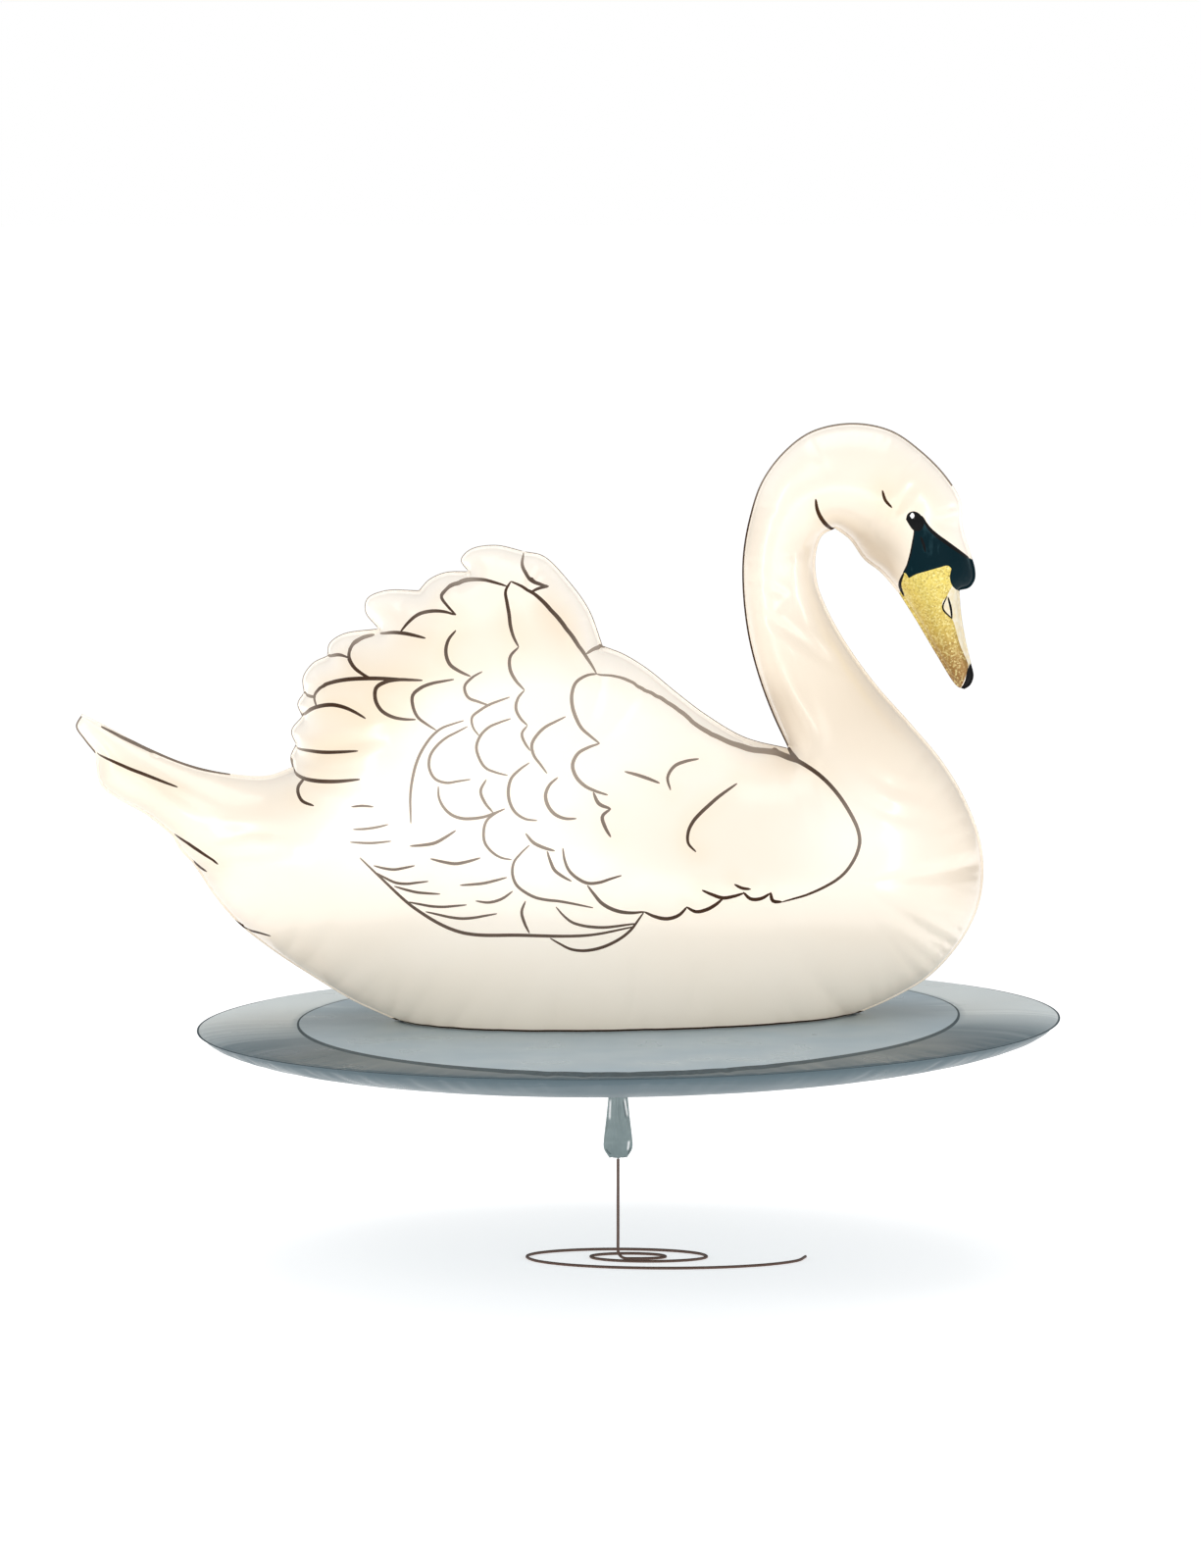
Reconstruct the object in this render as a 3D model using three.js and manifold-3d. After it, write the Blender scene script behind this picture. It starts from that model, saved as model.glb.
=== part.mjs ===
// Balloon swan: a foil swan resting on a round foil pond, with an inflation stem and a curled ribbon.
// Millimetres, +Z up. The swan faces +X and is mirrored about the XZ plane.
// The origin is on the floor, where the ribbon first lies flat.

import * as THREE from "three";
import { mergeVertices } from "three/addons/utils/BufferGeometryUtils.js";
import Module from "manifold-3d";

const wasm = await Module();
wasm.setup();

// Driving dimensions
const TOUCH_GAP = 0.3; // between pieces that rest on each other
const MERGE_DISTANCE = 1e-4; // points closer than this become one

const SWAN_LENGTH = 926; // tail tip to breast
const SWAN_FULLNESS = 0.95; // 1 gives the neck a round section
const SWAN_RIM_STEP = 9.5; // facet length along the seam
const SWAN_PANEL_STEP = 16; // facet length inside the two panels

const POND_DIAMETER = 882;
const POND_CROWN = 5; // flat top above the seam
const POND_SHOULDER = 58; // width of the round edge between flat top and seam
const POND_DEPTH = 50; // underside below the seam
const POND_AHEAD = 10.5; // pond's centre, forward of the stem
const POND_TILT = 0.9; // degrees, front edge up
const POND_SIDES = 64;

const STEM_LENGTH = 91;
const STEM_NECK_WIDTH = 20;
const STEM_PAD_WIDTH = 30.5;
const STEM_THICKNESS_SHARE = 0.36; // the stem is a flat tube, thinner than it is wide
const STEM_SIDES = 28;
// Half of the pad's outline from its lower end up, as shares of its half width
const STEM_PAD_SHAPE = [[0, 0], [0.52, 0], [0.8, 0.26], [0.94, 0.55], [1, 0.9], [0.92, 1.75]];
const STEM_TAPER_SHARES = [2.7, 4.1]; // heights where the taper is half way, and where it meets the neck

const RIBBON_DIAMETER = 3;
const RIBBON_RISE = 105; // floor to the stem's lower end
const RIBBON_BEND = 12; // radius where it turns from hanging to lying
const RIBBON_RUN_LENGTH = 12; // straight on the floor, before the first turn
const RIBBON_DROP_STEPS = 16;
const RIBBON_CURL_STEPS = 64;
const CURL_FIRST_RADIUS = 24.8; // half width of the innermost turn
const CURL_GROWTH = 1.55; // each half turn is this much wider than the one before
const CURL_DEPTH_SHARE = 0.53; // front-to-back half width of a half turn, as a share of its reach
const CURL_HALF_TURNS = 4;

// The swan's outline, as thousandths of its length. X runs forward from the stem, Z up from the pond.
// Each lobe is one smooth curve that starts at the end of the lobe before it, and the corners are sharp.
const SWAN_LOBES = new Map([
  ["tailTop", [[-574, 328], [-519, 299], [-470, 279], [-422, 269], [-385, 268], [-359, 277]]],
  ["wingTip1", [[-361, 288], [-355, 302]]],
  ["wingTip2", [[-360, 317], [-348, 333]]],
  ["wingTip3", [[-353, 347], [-346, 359]]],
  ["wingTip4", [[-347, 376], [-336, 392], [-320, 400]]],
  ["wingTip5", [[-318, 413], [-303, 424], [-264, 430]]],
  ["wingTip6", [[-278, 448], [-276, 463], [-256, 472], [-219, 472]]],
  ["wingTip7", [[-208, 484], [-190, 492], [-165, 493]]],
  ["wingTip8", [[-173, 505], [-163, 517], [-135, 522], [-103, 515]]],
  ["wingTip9", [[-82, 510], [-54, 482], [-32, 451], [-17, 411]]],
  ["back", [[6, 402], [32, 386], [64, 360], [97, 335], [140, 310], [187, 298]]],
  ["neckBack", [[169, 337], [154, 378], [143, 421], [137, 469], [137, 511], [144, 552]]],
  ["head", [[157, 591], [181, 624], [212, 647], [256, 656], [299, 648], [334, 624], [361, 596],
    [376, 570], [378, 543], [389, 507]]],
  ["knob", [[392, 496], [392, 484], [386, 475], [375, 472]]],
  ["billTop", [[377, 447], [382, 418], [388, 392], [391, 377], [387, 367], [381, 363]]],
  ["billBottom", [[373, 366], [350, 401], [328, 438], [309, 468]]],
  ["throat", [[288, 492], [270, 506], [254, 528], [238, 540]]],
  ["neckFront", [[224, 532], [217, 510], [219, 480], [229, 453], [250, 415], [283, 369], [323, 324],
    [358, 282]]],
  ["breast", [[383, 240], [399, 197], [403, 160], [398, 124], [380, 86], [345, 46], [302, 20], [256, 0]]],
  ["keel", [[199, -26], [134, -48], [64, -61], [-11, -65], [-87, -61], [-157, -44], [-214, -17],
    [-254, 0]]],
  ["belly", [[-293, 18], [-336, 44], [-380, 73], [-418, 103], [-445, 134], [-462, 160], [-470, 172]]],
  ["underTail", [[-482, 184], [-491, 201]]],
  ["tailEdge", [[-520, 224], [-553, 243], [-570, 257], [-576, 292]]],
  ["tailTip", [[-588, 307], [-597, 322], [-590, 336]]],
]);
const SWAN_SMOOTH_STARTS = ["head", "breast", "keel", "belly"]; // these run on from the lobe before them

// Places that follow from the sizes
const stemX = -RIBBON_BEND;
const stemBottom = RIBBON_RISE;
const stemTop = stemBottom + STEM_LENGTH;
const pondTilt = THREE.MathUtils.degToRad(POND_TILT);
const pondRadius = POND_DIAMETER / 2;
const pondSeat = TOUCH_GAP + (STEM_NECK_WIDTH / 2) * Math.tan(pondTilt); // clears the stem's higher edge
const pondPlace = new THREE.Matrix4()
  .makeRotationY(-pondTilt)
  .setPosition(stemX + POND_AHEAD, 0, stemTop + pondSeat + POND_DEPTH);
const pondTop = new THREE.Vector3(0, 0, POND_CROWN).applyMatrix4(pondPlace);

// Outline of the swan as points in the XZ plane, anticlockwise as seen from -Y
function swanOutline() {
  const scale = SWAN_LENGTH / 1000;
  const smoothRuns = [];
  let corner = SWAN_LOBES.get("tailTip").at(-1);
  for (const [name, lobe] of SWAN_LOBES) {
    if (SWAN_SMOOTH_STARTS.includes(name)) smoothRuns.at(-1).push(...lobe);
    else smoothRuns.push([corner, ...lobe]);
    corner = lobe.at(-1);
  }
  const outline = [];
  for (const run of smoothRuns) {
    const points = run.map(([x, z]) => new THREE.Vector3(x * scale, z * scale, 0));
    const curve = new THREE.CatmullRomCurve3(points, false, "centripetal");
    const steps = Math.max(2, Math.round(curve.getLength() / SWAN_RIM_STEP));
    const spaced = curve.getSpacedPoints(steps).slice(0, -1);
    outline.push(...spaced.map((p) => new THREE.Vector2(stemX + p.x, pondTop.z + p.y)));
  }
  return THREE.ShapeUtils.isClockWise(outline) ? outline.reverse() : outline;
}

function isInside(point, outline) {
  let inside = false;
  outline.forEach((a, index) => {
    const b = outline[(index + 1) % outline.length];
    const crosses = a.y > point.y !== b.y > point.y;
    if (crosses && point.x < a.x + ((point.y - a.y) / (b.y - a.y)) * (b.x - a.x)) inside = !inside;
  });
  return inside;
}

// Staggered rows of points inside the outline, clear of the seam
function panelPoints(outline) {
  const box = new THREE.Box2().setFromPoints(outline);
  const rowStep = (SWAN_PANEL_STEP * Math.sqrt(3)) / 2;
  const clearance = SWAN_RIM_STEP * 0.75;
  const points = [];
  let row = 0;
  for (let y = box.min.y + rowStep / 2; y < box.max.y; y += rowStep) {
    const shift = row % 2 ? SWAN_PANEL_STEP / 2 : 0;
    for (let x = box.min.x + shift; x < box.max.x; x += SWAN_PANEL_STEP) {
      const point = new THREE.Vector2(x, y);
      if (!isInside(point, outline)) continue;
      if (outline.every((rim) => rim.distanceTo(point) > clearance)) points.push(point);
    }
    row += 1;
  }
  return points;
}

const turn = (a, b, c) => (b.x - a.x) * (c.y - a.y) - (b.y - a.y) * (c.x - a.x);

// True where d is inside the circle through the anticlockwise corners a, b and c
function inCircle(a, b, c, d) {
  const tolerance = 1e-3;
  const [ax, ay, bx, by, cx, cy] = [a.x - d.x, a.y - d.y, b.x - d.x, b.y - d.y, c.x - d.x, c.y - d.y];
  const [a2, b2, c2] = [ax * ax + ay * ay, bx * bx + by * by, cx * cx + cy * cy];
  return ax * (by * c2 - b2 * cy) - ay * (bx * c2 - b2 * cx) + a2 * (bx * cy - by * cx) > tolerance;
}

const KEY_BASE = 100000; // more than a panel's points

// Triangles that cover an outline and keep all its edges, with well-shaped facets around the inner points
class PanelMesh {
  constructor(outline, inner) {
    this.points = [...outline];
    this.rimCount = outline.length;
    this.triangles = [];
    this.owner = new Map(); // directed edge to the triangle on its left
    for (const [a, b, c] of THREE.ShapeUtils.triangulateShape(outline, [])) {
      const anticlockwise = turn(outline[a], outline[b], outline[c]) > 0;
      this.place(this.triangles.length, a, anticlockwise ? b : c, anticlockwise ? c : b);
    }
    this.settle([...this.owner.keys()]);
    for (const point of inner) this.insert(point);
    this.splitChords();
  }

  key(a, b) {
    return a * KEY_BASE + b;
  }

  place(id, a, b, c) {
    this.triangles[id] = [a, b, c];
    this.owner.set(this.key(a, b), id);
    this.owner.set(this.key(b, c), id);
    this.owner.set(this.key(c, a), id);
  }

  opposite(id, a, b) {
    return this.triangles[id].find((corner) => corner !== a && corner !== b);
  }

  insert(point) {
    const id = this.triangles.findIndex(([a, b, c]) => {
      const [pa, pb, pc] = [this.points[a], this.points[b], this.points[c]];
      return turn(pa, pb, point) > 0 && turn(pb, pc, point) > 0 && turn(pc, pa, point) > 0;
    });
    if (id < 0) return;
    const [a, b, c] = this.triangles[id];
    const p = this.points.push(point) - 1;
    this.place(id, a, b, p);
    this.place(this.triangles.length, b, c, p);
    this.place(this.triangles.length, c, a, p);
    this.settle([this.key(a, b), this.key(b, c), this.key(c, a)]);
  }

  // Flips edges until no facet's circle holds its neighbour's far corner
  settle(keys) {
    while (keys.length) {
      const edge = keys.pop();
      const a = Math.floor(edge / KEY_BASE);
      const b = edge % KEY_BASE;
      const here = this.owner.get(this.key(a, b));
      const there = this.owner.get(this.key(b, a));
      if (here === undefined || there === undefined) continue;
      const c = this.opposite(here, a, b);
      const d = this.opposite(there, a, b);
      const [pa, pb, pc, pd] = [this.points[a], this.points[b], this.points[c], this.points[d]];
      if (!inCircle(pa, pb, pc, pd)) continue;
      if (turn(pc, pa, pd) <= 0 || turn(pd, pb, pc) <= 0) continue;
      this.owner.delete(this.key(a, b));
      this.owner.delete(this.key(b, a));
      this.place(here, c, a, d);
      this.place(there, d, b, c);
      keys.push(this.key(a, d), this.key(d, b), this.key(b, c), this.key(c, a));
    }
  }

  // Adds a point in the middle of each inner edge between two seam points, so that the panels stay apart
  splitChords() {
    for (const edge of [...this.owner.keys()]) {
      const a = Math.floor(edge / KEY_BASE);
      const b = edge % KEY_BASE;
      const here = this.owner.get(edge);
      const there = this.owner.get(this.key(b, a));
      if (a >= this.rimCount || b >= this.rimCount || here === undefined || there === undefined) continue;
      const c = this.opposite(here, a, b);
      const d = this.opposite(there, a, b);
      const m = this.points.push(this.points[a].clone().lerp(this.points[b], 0.5)) - 1;
      this.owner.delete(edge);
      this.owner.delete(this.key(b, a));
      this.place(here, a, m, c);
      this.place(this.triangles.length, m, b, c);
      this.place(there, b, m, d);
      this.place(this.triangles.length, m, a, d);
    }
  }
}

// Height of a soap film over the panel, held down along the seam and pushed up evenly from below
function filmHeights(mesh) {
  const { points, triangles, rimCount } = mesh;
  const links = points.map(() => new Map());
  const load = points.map(() => 0);
  for (const corners of triangles) {
    const [a, b, c] = corners.map((index) => points[index]);
    const area = turn(a, b, c) / 2;
    corners.forEach((far, index) => {
      const near = corners[(index + 1) % 3];
      const next = corners[(index + 2) % 3];
      const toNear = points[near].clone().sub(points[far]);
      const toNext = points[next].clone().sub(points[far]);
      const weight = toNear.dot(toNext) / (4 * area);
      links[near].set(next, (links[near].get(next) ?? 0) + weight);
      links[next].set(near, (links[next].get(near) ?? 0) + weight);
      load[far] += area / 3;
    });
  }
  const heights = points.map(() => 0);
  const overshoot = 1.9; // speeds up the sweeps
  const sweeps = 500;
  for (let sweep = 0; sweep < sweeps; sweep += 1) {
    for (let i = rimCount; i < points.length; i += 1) {
      let pull = load[i];
      let total = 0;
      for (const [j, weight] of links[i]) {
        pull += weight * heights[j];
        total += weight;
      }
      heights[i] += overshoot * (pull / total - heights[i]);
    }
  }
  return heights;
}

// Two equal panels that meet along the seam, each as deep as a blown-up pocket of that outline
function pillow(outline, fullness) {
  const mesh = new PanelMesh(outline, panelPoints(outline));
  const heights = filmHeights(mesh);
  const { points, triangles, rimCount } = mesh;
  const positions = [];
  points.forEach((p, index) => {
    const depth = index < rimCount ? 0 : fullness * Math.sqrt(2 * Math.max(heights[index], 0));
    positions.push(p.x, -depth, p.y);
  });
  points.slice(rimCount).forEach((p, index) => {
    positions.push(p.x, -positions[3 * (rimCount + index) + 1], p.y);
  });
  const far = (index) => (index < rimCount ? index : index + points.length - rimCount);
  const indices = [];
  for (const [a, b, c] of triangles) indices.push(a, b, c, far(a), far(c), far(b));
  const geometry = new THREE.BufferGeometry();
  geometry.setAttribute("position", new THREE.Float32BufferAttribute(positions, 3));
  geometry.setIndex(indices);
  return geometry;
}

function toSolid(geometry) {
  const bare = geometry.clone();
  bare.deleteAttribute("normal");
  bare.deleteAttribute("uv");
  const merged = mergeVertices(bare, MERGE_DISTANCE);
  const vertProperties = new Float32Array(merged.attributes.position.array);
  const triVerts = new Uint32Array(merged.index.array);
  return new wasm.Manifold(new wasm.Mesh({ numProp: 3, vertProperties, triVerts }));
}

function toGeometry(solid) {
  const { vertProperties, triVerts } = solid.getMesh();
  const geometry = new THREE.BufferGeometry();
  geometry.setAttribute("position", new THREE.Float32BufferAttribute(vertProperties, 3));
  geometry.setIndex([...triVerts]);
  return geometry;
}

function swan() {
  const block = new THREE.BoxGeometry(2 * SWAN_LENGTH, SWAN_LENGTH, SWAN_LENGTH);
  block.translate(0, 0, POND_CROWN + TOUCH_GAP - SWAN_LENGTH / 2);
  block.applyMatrix4(pondPlace);
  const whole = toSolid(pillow(swanOutline(), SWAN_FULLNESS));
  return toGeometry(whole.subtract(toSolid(block)));
}

// Lens with a flat top, a seam round its widest line and a bowl-shaped underside
function pond() {
  const flatRadius = pondRadius - POND_SHOULDER;
  const bowlSteps = 9;
  const shoulderSteps = 4;
  const profile = [];
  for (let i = 0; i <= bowlSteps; i += 1) {
    const angle = ((Math.PI / 2) * i) / bowlSteps;
    profile.push(new THREE.Vector2(pondRadius * Math.sin(angle), -POND_DEPTH * Math.cos(angle)));
  }
  for (let i = 1; i <= shoulderSteps; i += 1) {
    const angle = ((Math.PI / 2) * i) / shoulderSteps;
    const radius = flatRadius + POND_SHOULDER * Math.cos(angle);
    profile.push(new THREE.Vector2(radius, POND_CROWN * Math.sin(angle)));
  }
  profile.push(new THREE.Vector2(0, POND_CROWN));
  return lathe(profile, POND_SIDES).applyMatrix4(pondPlace);
}

// Solid of revolution about Z, from a profile that runs upwards from the axis and back to it
function lathe(profile, sides) {
  return new THREE.LatheGeometry(profile, sides).rotateX(Math.PI / 2);
}

// Flat tube that widens to a round-cornered pad at its lower end
function stem() {
  const neck = STEM_NECK_WIDTH / 2;
  const pad = STEM_PAD_WIDTH / 2;
  const [halfWay, neckStart] = STEM_TAPER_SHARES;
  const outline = STEM_PAD_SHAPE.map(([x, y]) => [x * pad, y * pad]);
  outline.push([(pad + neck) / 2, halfWay * pad], [neck, neckStart * pad]);
  outline.push([neck, STEM_LENGTH], [0, STEM_LENGTH]);
  const profile = outline.map(([x, y]) => new THREE.Vector2(x, y));
  return lathe(profile, STEM_SIDES).scale(1, STEM_THICKNESS_SHARE, 1).translate(stemX, 0, stemBottom);
}

// Round ribbon along a route, as an eight-sided tube that lies on one of its flats
function ribbonTube(points, steps) {
  const sides = 8;
  const corners = [];
  for (let i = 0; i < sides; i += 1) {
    const angle = ((i + 0.5) / sides) * 2 * Math.PI;
    const reach = RIBBON_DIAMETER / 2 / Math.cos(Math.PI / sides);
    corners.push(new THREE.Vector2(reach * Math.cos(angle), reach * Math.sin(angle)));
  }
  const route = new THREE.CatmullRomCurve3(points, false, "centripetal");
  route.arcLengthDivisions = 1000;
  const options = { steps, extrudePath: route, bevelEnabled: false };
  return new THREE.ExtrudeGeometry(new THREE.Shape(corners), options);
}

const ribbonLevel = RIBBON_DIAMETER / 2; // height of its centre line on the floor
const lieStart = -RIBBON_DIAMETER; // the lying part starts this far before the origin

// From the stem straight down, then round a bend to the floor
function ribbonDrop() {
  const bend = RIBBON_BEND + lieStart - TOUCH_GAP;
  const points = [];
  const top = stemBottom - TOUCH_GAP;
  const bendTop = ribbonLevel + bend;
  const straightSteps = 6;
  for (let i = 0; i < straightSteps; i += 1) {
    points.push(new THREE.Vector3(stemX, 0, top + ((bendTop - top) * i) / straightSteps));
  }
  const bendSteps = 8;
  for (let i = 0; i <= bendSteps; i += 1) {
    const angle = ((Math.PI / 2) * i) / bendSteps;
    const x = stemX + bend * (1 - Math.cos(angle));
    points.push(new THREE.Vector3(x, 0, bendTop - bend * Math.sin(angle)));
  }
  return ribbonTube(points, RIBBON_DROP_STEPS);
}

// A short straight run, a quarter turn, and half turns that widen outwards
function ribbonCurl() {
  const points = [new THREE.Vector3(lieStart, 0, ribbonLevel), new THREE.Vector3(0, 0, ribbonLevel)];
  const middleY = CURL_FIRST_RADIUS * CURL_DEPTH_SHARE;
  const stepsPerHalf = 9;
  let reach = CURL_FIRST_RADIUS;
  let centreX = RIBBON_RUN_LENGTH;
  const addArc = (from, to, steps) => {
    for (let i = 0; i < steps; i += 1) {
      const angle = Math.PI * THREE.MathUtils.lerp(from, to, i / steps);
      const y = middleY + CURL_DEPTH_SHARE * reach * Math.sin(angle);
      points.push(new THREE.Vector3(centreX + reach * Math.cos(angle), y, ribbonLevel));
    }
  };
  addArc(-0.5, 0, 5);
  for (let half = 0; half < CURL_HALF_TURNS; half += 1) {
    const side = half % 2 ? -1 : 1;
    const nextReach = reach * CURL_GROWTH;
    centreX -= side * (nextReach - reach);
    reach = nextReach;
    addArc(half, half + 1, stepsPerHalf);
  }
  const endSide = CURL_HALF_TURNS % 2 ? -1 : 1;
  points.push(new THREE.Vector3(centreX + endSide * reach, middleY, ribbonLevel));
  return ribbonTube(points, RIBBON_CURL_STEPS);
}

function piece(name, geometry, color, roughness, metalness) {
  const mesh = new THREE.Mesh(geometry, new THREE.MeshStandardMaterial({ color, roughness, metalness }));
  mesh.name = name;
  return mesh;
}

const balloonSwan = new THREE.Group();
balloonSwan.add(
  piece("swan", swan(), 0xf4ebdc, 0.32, 0.1),
  piece("pond", pond(), 0x8c9aa2, 0.38, 0.25),
  piece("inflation_stem", stem(), 0x7f8f91, 0.4, 0.2),
  piece("ribbon_drop", ribbonDrop(), 0x776557, 0.6, 0),
  piece("ribbon_curl", ribbonCurl(), 0x776557, 0.6, 0),
);

export default balloonSwan;
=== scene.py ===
# Balloon swan, dressed: a pearl foil swan on a blue-grey foil pond, with its inflation stem and ribbon.
# Metres, in the frame of the solids: the swan faces +X, and the floor is at Z = 0.
import math

import bmesh
import bpy
import numpy as np
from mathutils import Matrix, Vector
from mathutils.bvhtree import BVHTree
from mathutils.geometry import delaunay_2d_cdt
from mathutils.kdtree import KDTree


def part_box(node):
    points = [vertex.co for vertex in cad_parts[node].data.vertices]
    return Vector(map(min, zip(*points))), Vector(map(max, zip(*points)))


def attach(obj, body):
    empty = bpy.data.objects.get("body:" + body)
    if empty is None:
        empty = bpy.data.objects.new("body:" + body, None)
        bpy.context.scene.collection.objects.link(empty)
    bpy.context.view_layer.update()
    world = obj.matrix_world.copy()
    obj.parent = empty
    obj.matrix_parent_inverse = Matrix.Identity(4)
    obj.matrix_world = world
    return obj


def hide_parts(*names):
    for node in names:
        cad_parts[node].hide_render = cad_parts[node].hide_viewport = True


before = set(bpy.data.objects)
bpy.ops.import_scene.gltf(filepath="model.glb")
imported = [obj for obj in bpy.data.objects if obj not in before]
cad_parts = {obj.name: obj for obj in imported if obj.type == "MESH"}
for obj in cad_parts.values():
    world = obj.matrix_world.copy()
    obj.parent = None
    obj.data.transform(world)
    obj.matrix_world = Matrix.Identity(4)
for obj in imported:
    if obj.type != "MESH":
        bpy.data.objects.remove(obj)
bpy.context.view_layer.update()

rng = np.random.default_rng(11)
TURN = 2 * math.pi

# Sizes, as in the solids
TOUCH_GAP = 0.0003
SWAN_LENGTH = 0.926
SWAN_FULLNESS = 0.95
POND_CROWN = 0.005
POND_SHOULDER = 0.058
POND_DEPTH = 0.050
POND_AHEAD = 0.0105
POND_TILT = math.radians(0.9)
STEM_NECK_WIDTH = 0.020
RIBBON_DIAMETER = 0.003
RIBBON_BEND = 0.012
RIBBON_RUN_LENGTH = 0.012
CURL_FIRST_RADIUS = 0.0248
CURL_GROWTH = 1.55
CURL_DEPTH_SHARE = 0.53
CURL_HALF_TURNS = 4

# Places that follow from the frame
stem_low, stem_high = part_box("inflation_stem")
stem_x = (stem_low[0] + stem_high[0]) / 2
pond_low, pond_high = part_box("pond")
pond_radius = (pond_high[1] - pond_low[1]) / 2
pond_seat = TOUCH_GAP + STEM_NECK_WIDTH / 2 * math.tan(POND_TILT)
pond_centre = Vector((stem_x + POND_AHEAD, 0, stem_high[2] + pond_seat + POND_DEPTH))
pond_up = Vector((-math.sin(POND_TILT), 0, math.cos(POND_TILT)))
pond_top = pond_centre + pond_up * POND_CROWN

# Camera: the picture is 1225 by 1599, and one of its pixels is a millimetre at the swan's middle plane
PICTURE_WIDTH, PICTURE_HEIGHT = 1225, 1599
PIXEL = 0.001
CAMERA_PLACE = Vector((-0.030, -8.0, 1.27))
CAMERA_TARGET = Vector((-0.030, 0, 0.4905))
SENSOR = 36.0
CLIP_END = 60


def add_object(name, data):
    made = bpy.data.objects.new(name, data)
    bpy.context.scene.collection.objects.link(made)
    return made


def make_camera():
    """The camera, and its focal length in the picture's pixels."""
    data = bpy.data.cameras.new("camera")
    made = add_object("camera", data)
    bpy.context.scene.camera = made
    sight = CAMERA_TARGET - CAMERA_PLACE
    made.location = CAMERA_PLACE
    made.rotation_euler = sight.to_track_quat("-Z", "Y").to_euler()
    data.sensor_width = SENSOR
    data.lens = SENSOR * sight.length / PIXEL / PICTURE_HEIGHT
    data.clip_end = CLIP_END
    return made, sight.length / PIXEL


camera, focal_pixels = make_camera()
bpy.context.view_layer.update()

# Steps of a curve from one given point to the next, before its points are evened out
FINE_STEPS = 24


def smooth_line(points, step):
    """Even points along the centripetal Catmull-Rom curve through the given ones, both ends included."""
    given = np.asarray(points, float)
    ends = np.vstack([2 * given[0] - given[1], given, 2 * given[-1] - given[-2]])
    t = np.linspace(0, 1, FINE_STEPS + 1)[:-1, None]
    parts = []
    for i in range(len(given) - 1):
        p0, p1, p2, p3 = ends[i:i + 4]
        d0, d1, d2 = (np.linalg.norm(b - a) ** 0.5 for a, b in ((p0, p1), (p1, p2), (p2, p3)))
        start = d1 * ((p1 - p0) / d0 - (p2 - p0) / (d0 + d1) + (p2 - p1) / d1)
        stop = d1 * ((p2 - p1) / d1 - (p3 - p1) / (d1 + d2) + (p3 - p2) / d2)
        parts.append(p1 + t * start + t**2 * (3 * (p2 - p1) - 2 * start - stop)
                     + t**3 * (2 * (p1 - p2) + start + stop))
    fine = np.vstack(parts + [given[-1:]])
    along = np.concatenate([[0], np.cumsum(np.linalg.norm(np.diff(fine, axis=0), axis=1))])
    places = np.linspace(0, along[-1], max(2, round(along[-1] / step)) + 1)
    return np.column_stack([np.interp(places, along, fine[:, k]) for k in range(fine.shape[1])])


# Ribbon: straight down from the stem, round a bend, and then in widening half turns on the floor
DROP_STEPS = 6
BEND_STEPS = 8
FIRST_ARC_STEPS = 5
HALF_TURN_STEPS = 9
RIBBON_STEP = 0.002


def ribbon_route():
    level = RIBBON_DIAMETER / 2
    bend = RIBBON_BEND - RIBBON_DIAMETER - TOUCH_GAP
    top = stem_low[2] - TOUCH_GAP
    bend_top = level + bend
    points = [(stem_x, 0, top + (bend_top - top) * i / DROP_STEPS) for i in range(DROP_STEPS)]
    for i in range(BEND_STEPS + 1):
        angle = math.pi / 2 * i / BEND_STEPS
        points.append((stem_x + bend * (1 - math.cos(angle)), 0, bend_top - bend * math.sin(angle)))
    points.append((0, 0, level))
    middle_y = CURL_FIRST_RADIUS * CURL_DEPTH_SHARE
    reach = CURL_FIRST_RADIUS
    centre_x = RIBBON_RUN_LENGTH

    def add_arc(start, stop, steps):
        for i in range(steps):
            angle = math.pi * (start + (stop - start) * i / steps)
            y = middle_y + CURL_DEPTH_SHARE * reach * math.sin(angle)
            points.append((centre_x + reach * math.cos(angle), y, level))

    add_arc(-0.5, 0, FIRST_ARC_STEPS)
    for half in range(CURL_HALF_TURNS):
        side = -1 if half % 2 else 1
        centre_x -= side * (reach * CURL_GROWTH - reach)
        reach *= CURL_GROWTH
        add_arc(half, half + 1, HALF_TURN_STEPS)
    end_side = -1 if CURL_HALF_TURNS % 2 else 1
    points.append((centre_x + end_side * reach, middle_y, level))
    return smooth_line(points, RIBBON_STEP)


def make_ribbon():
    route = ribbon_route()
    curve = bpy.data.curves.new("ribbon", "CURVE")
    curve.dimensions = "3D"
    curve.bevel_depth = 1.0
    curve.bevel_resolution = 4
    curve.use_fill_caps = True
    spline = curve.splines.new("POLY")
    spline.points.add(len(route) - 1)
    for point, place in zip(spline.points, route):
        point.co = (*place, 1)
        point.radius = RIBBON_DIAMETER / 2
    spline.use_smooth = True
    ribbon = add_object("ribbon", curve)
    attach(ribbon, "root")
    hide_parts("ribbon_drop", "ribbon_curl")
    return ribbon


ribbon = make_ribbon()

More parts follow.
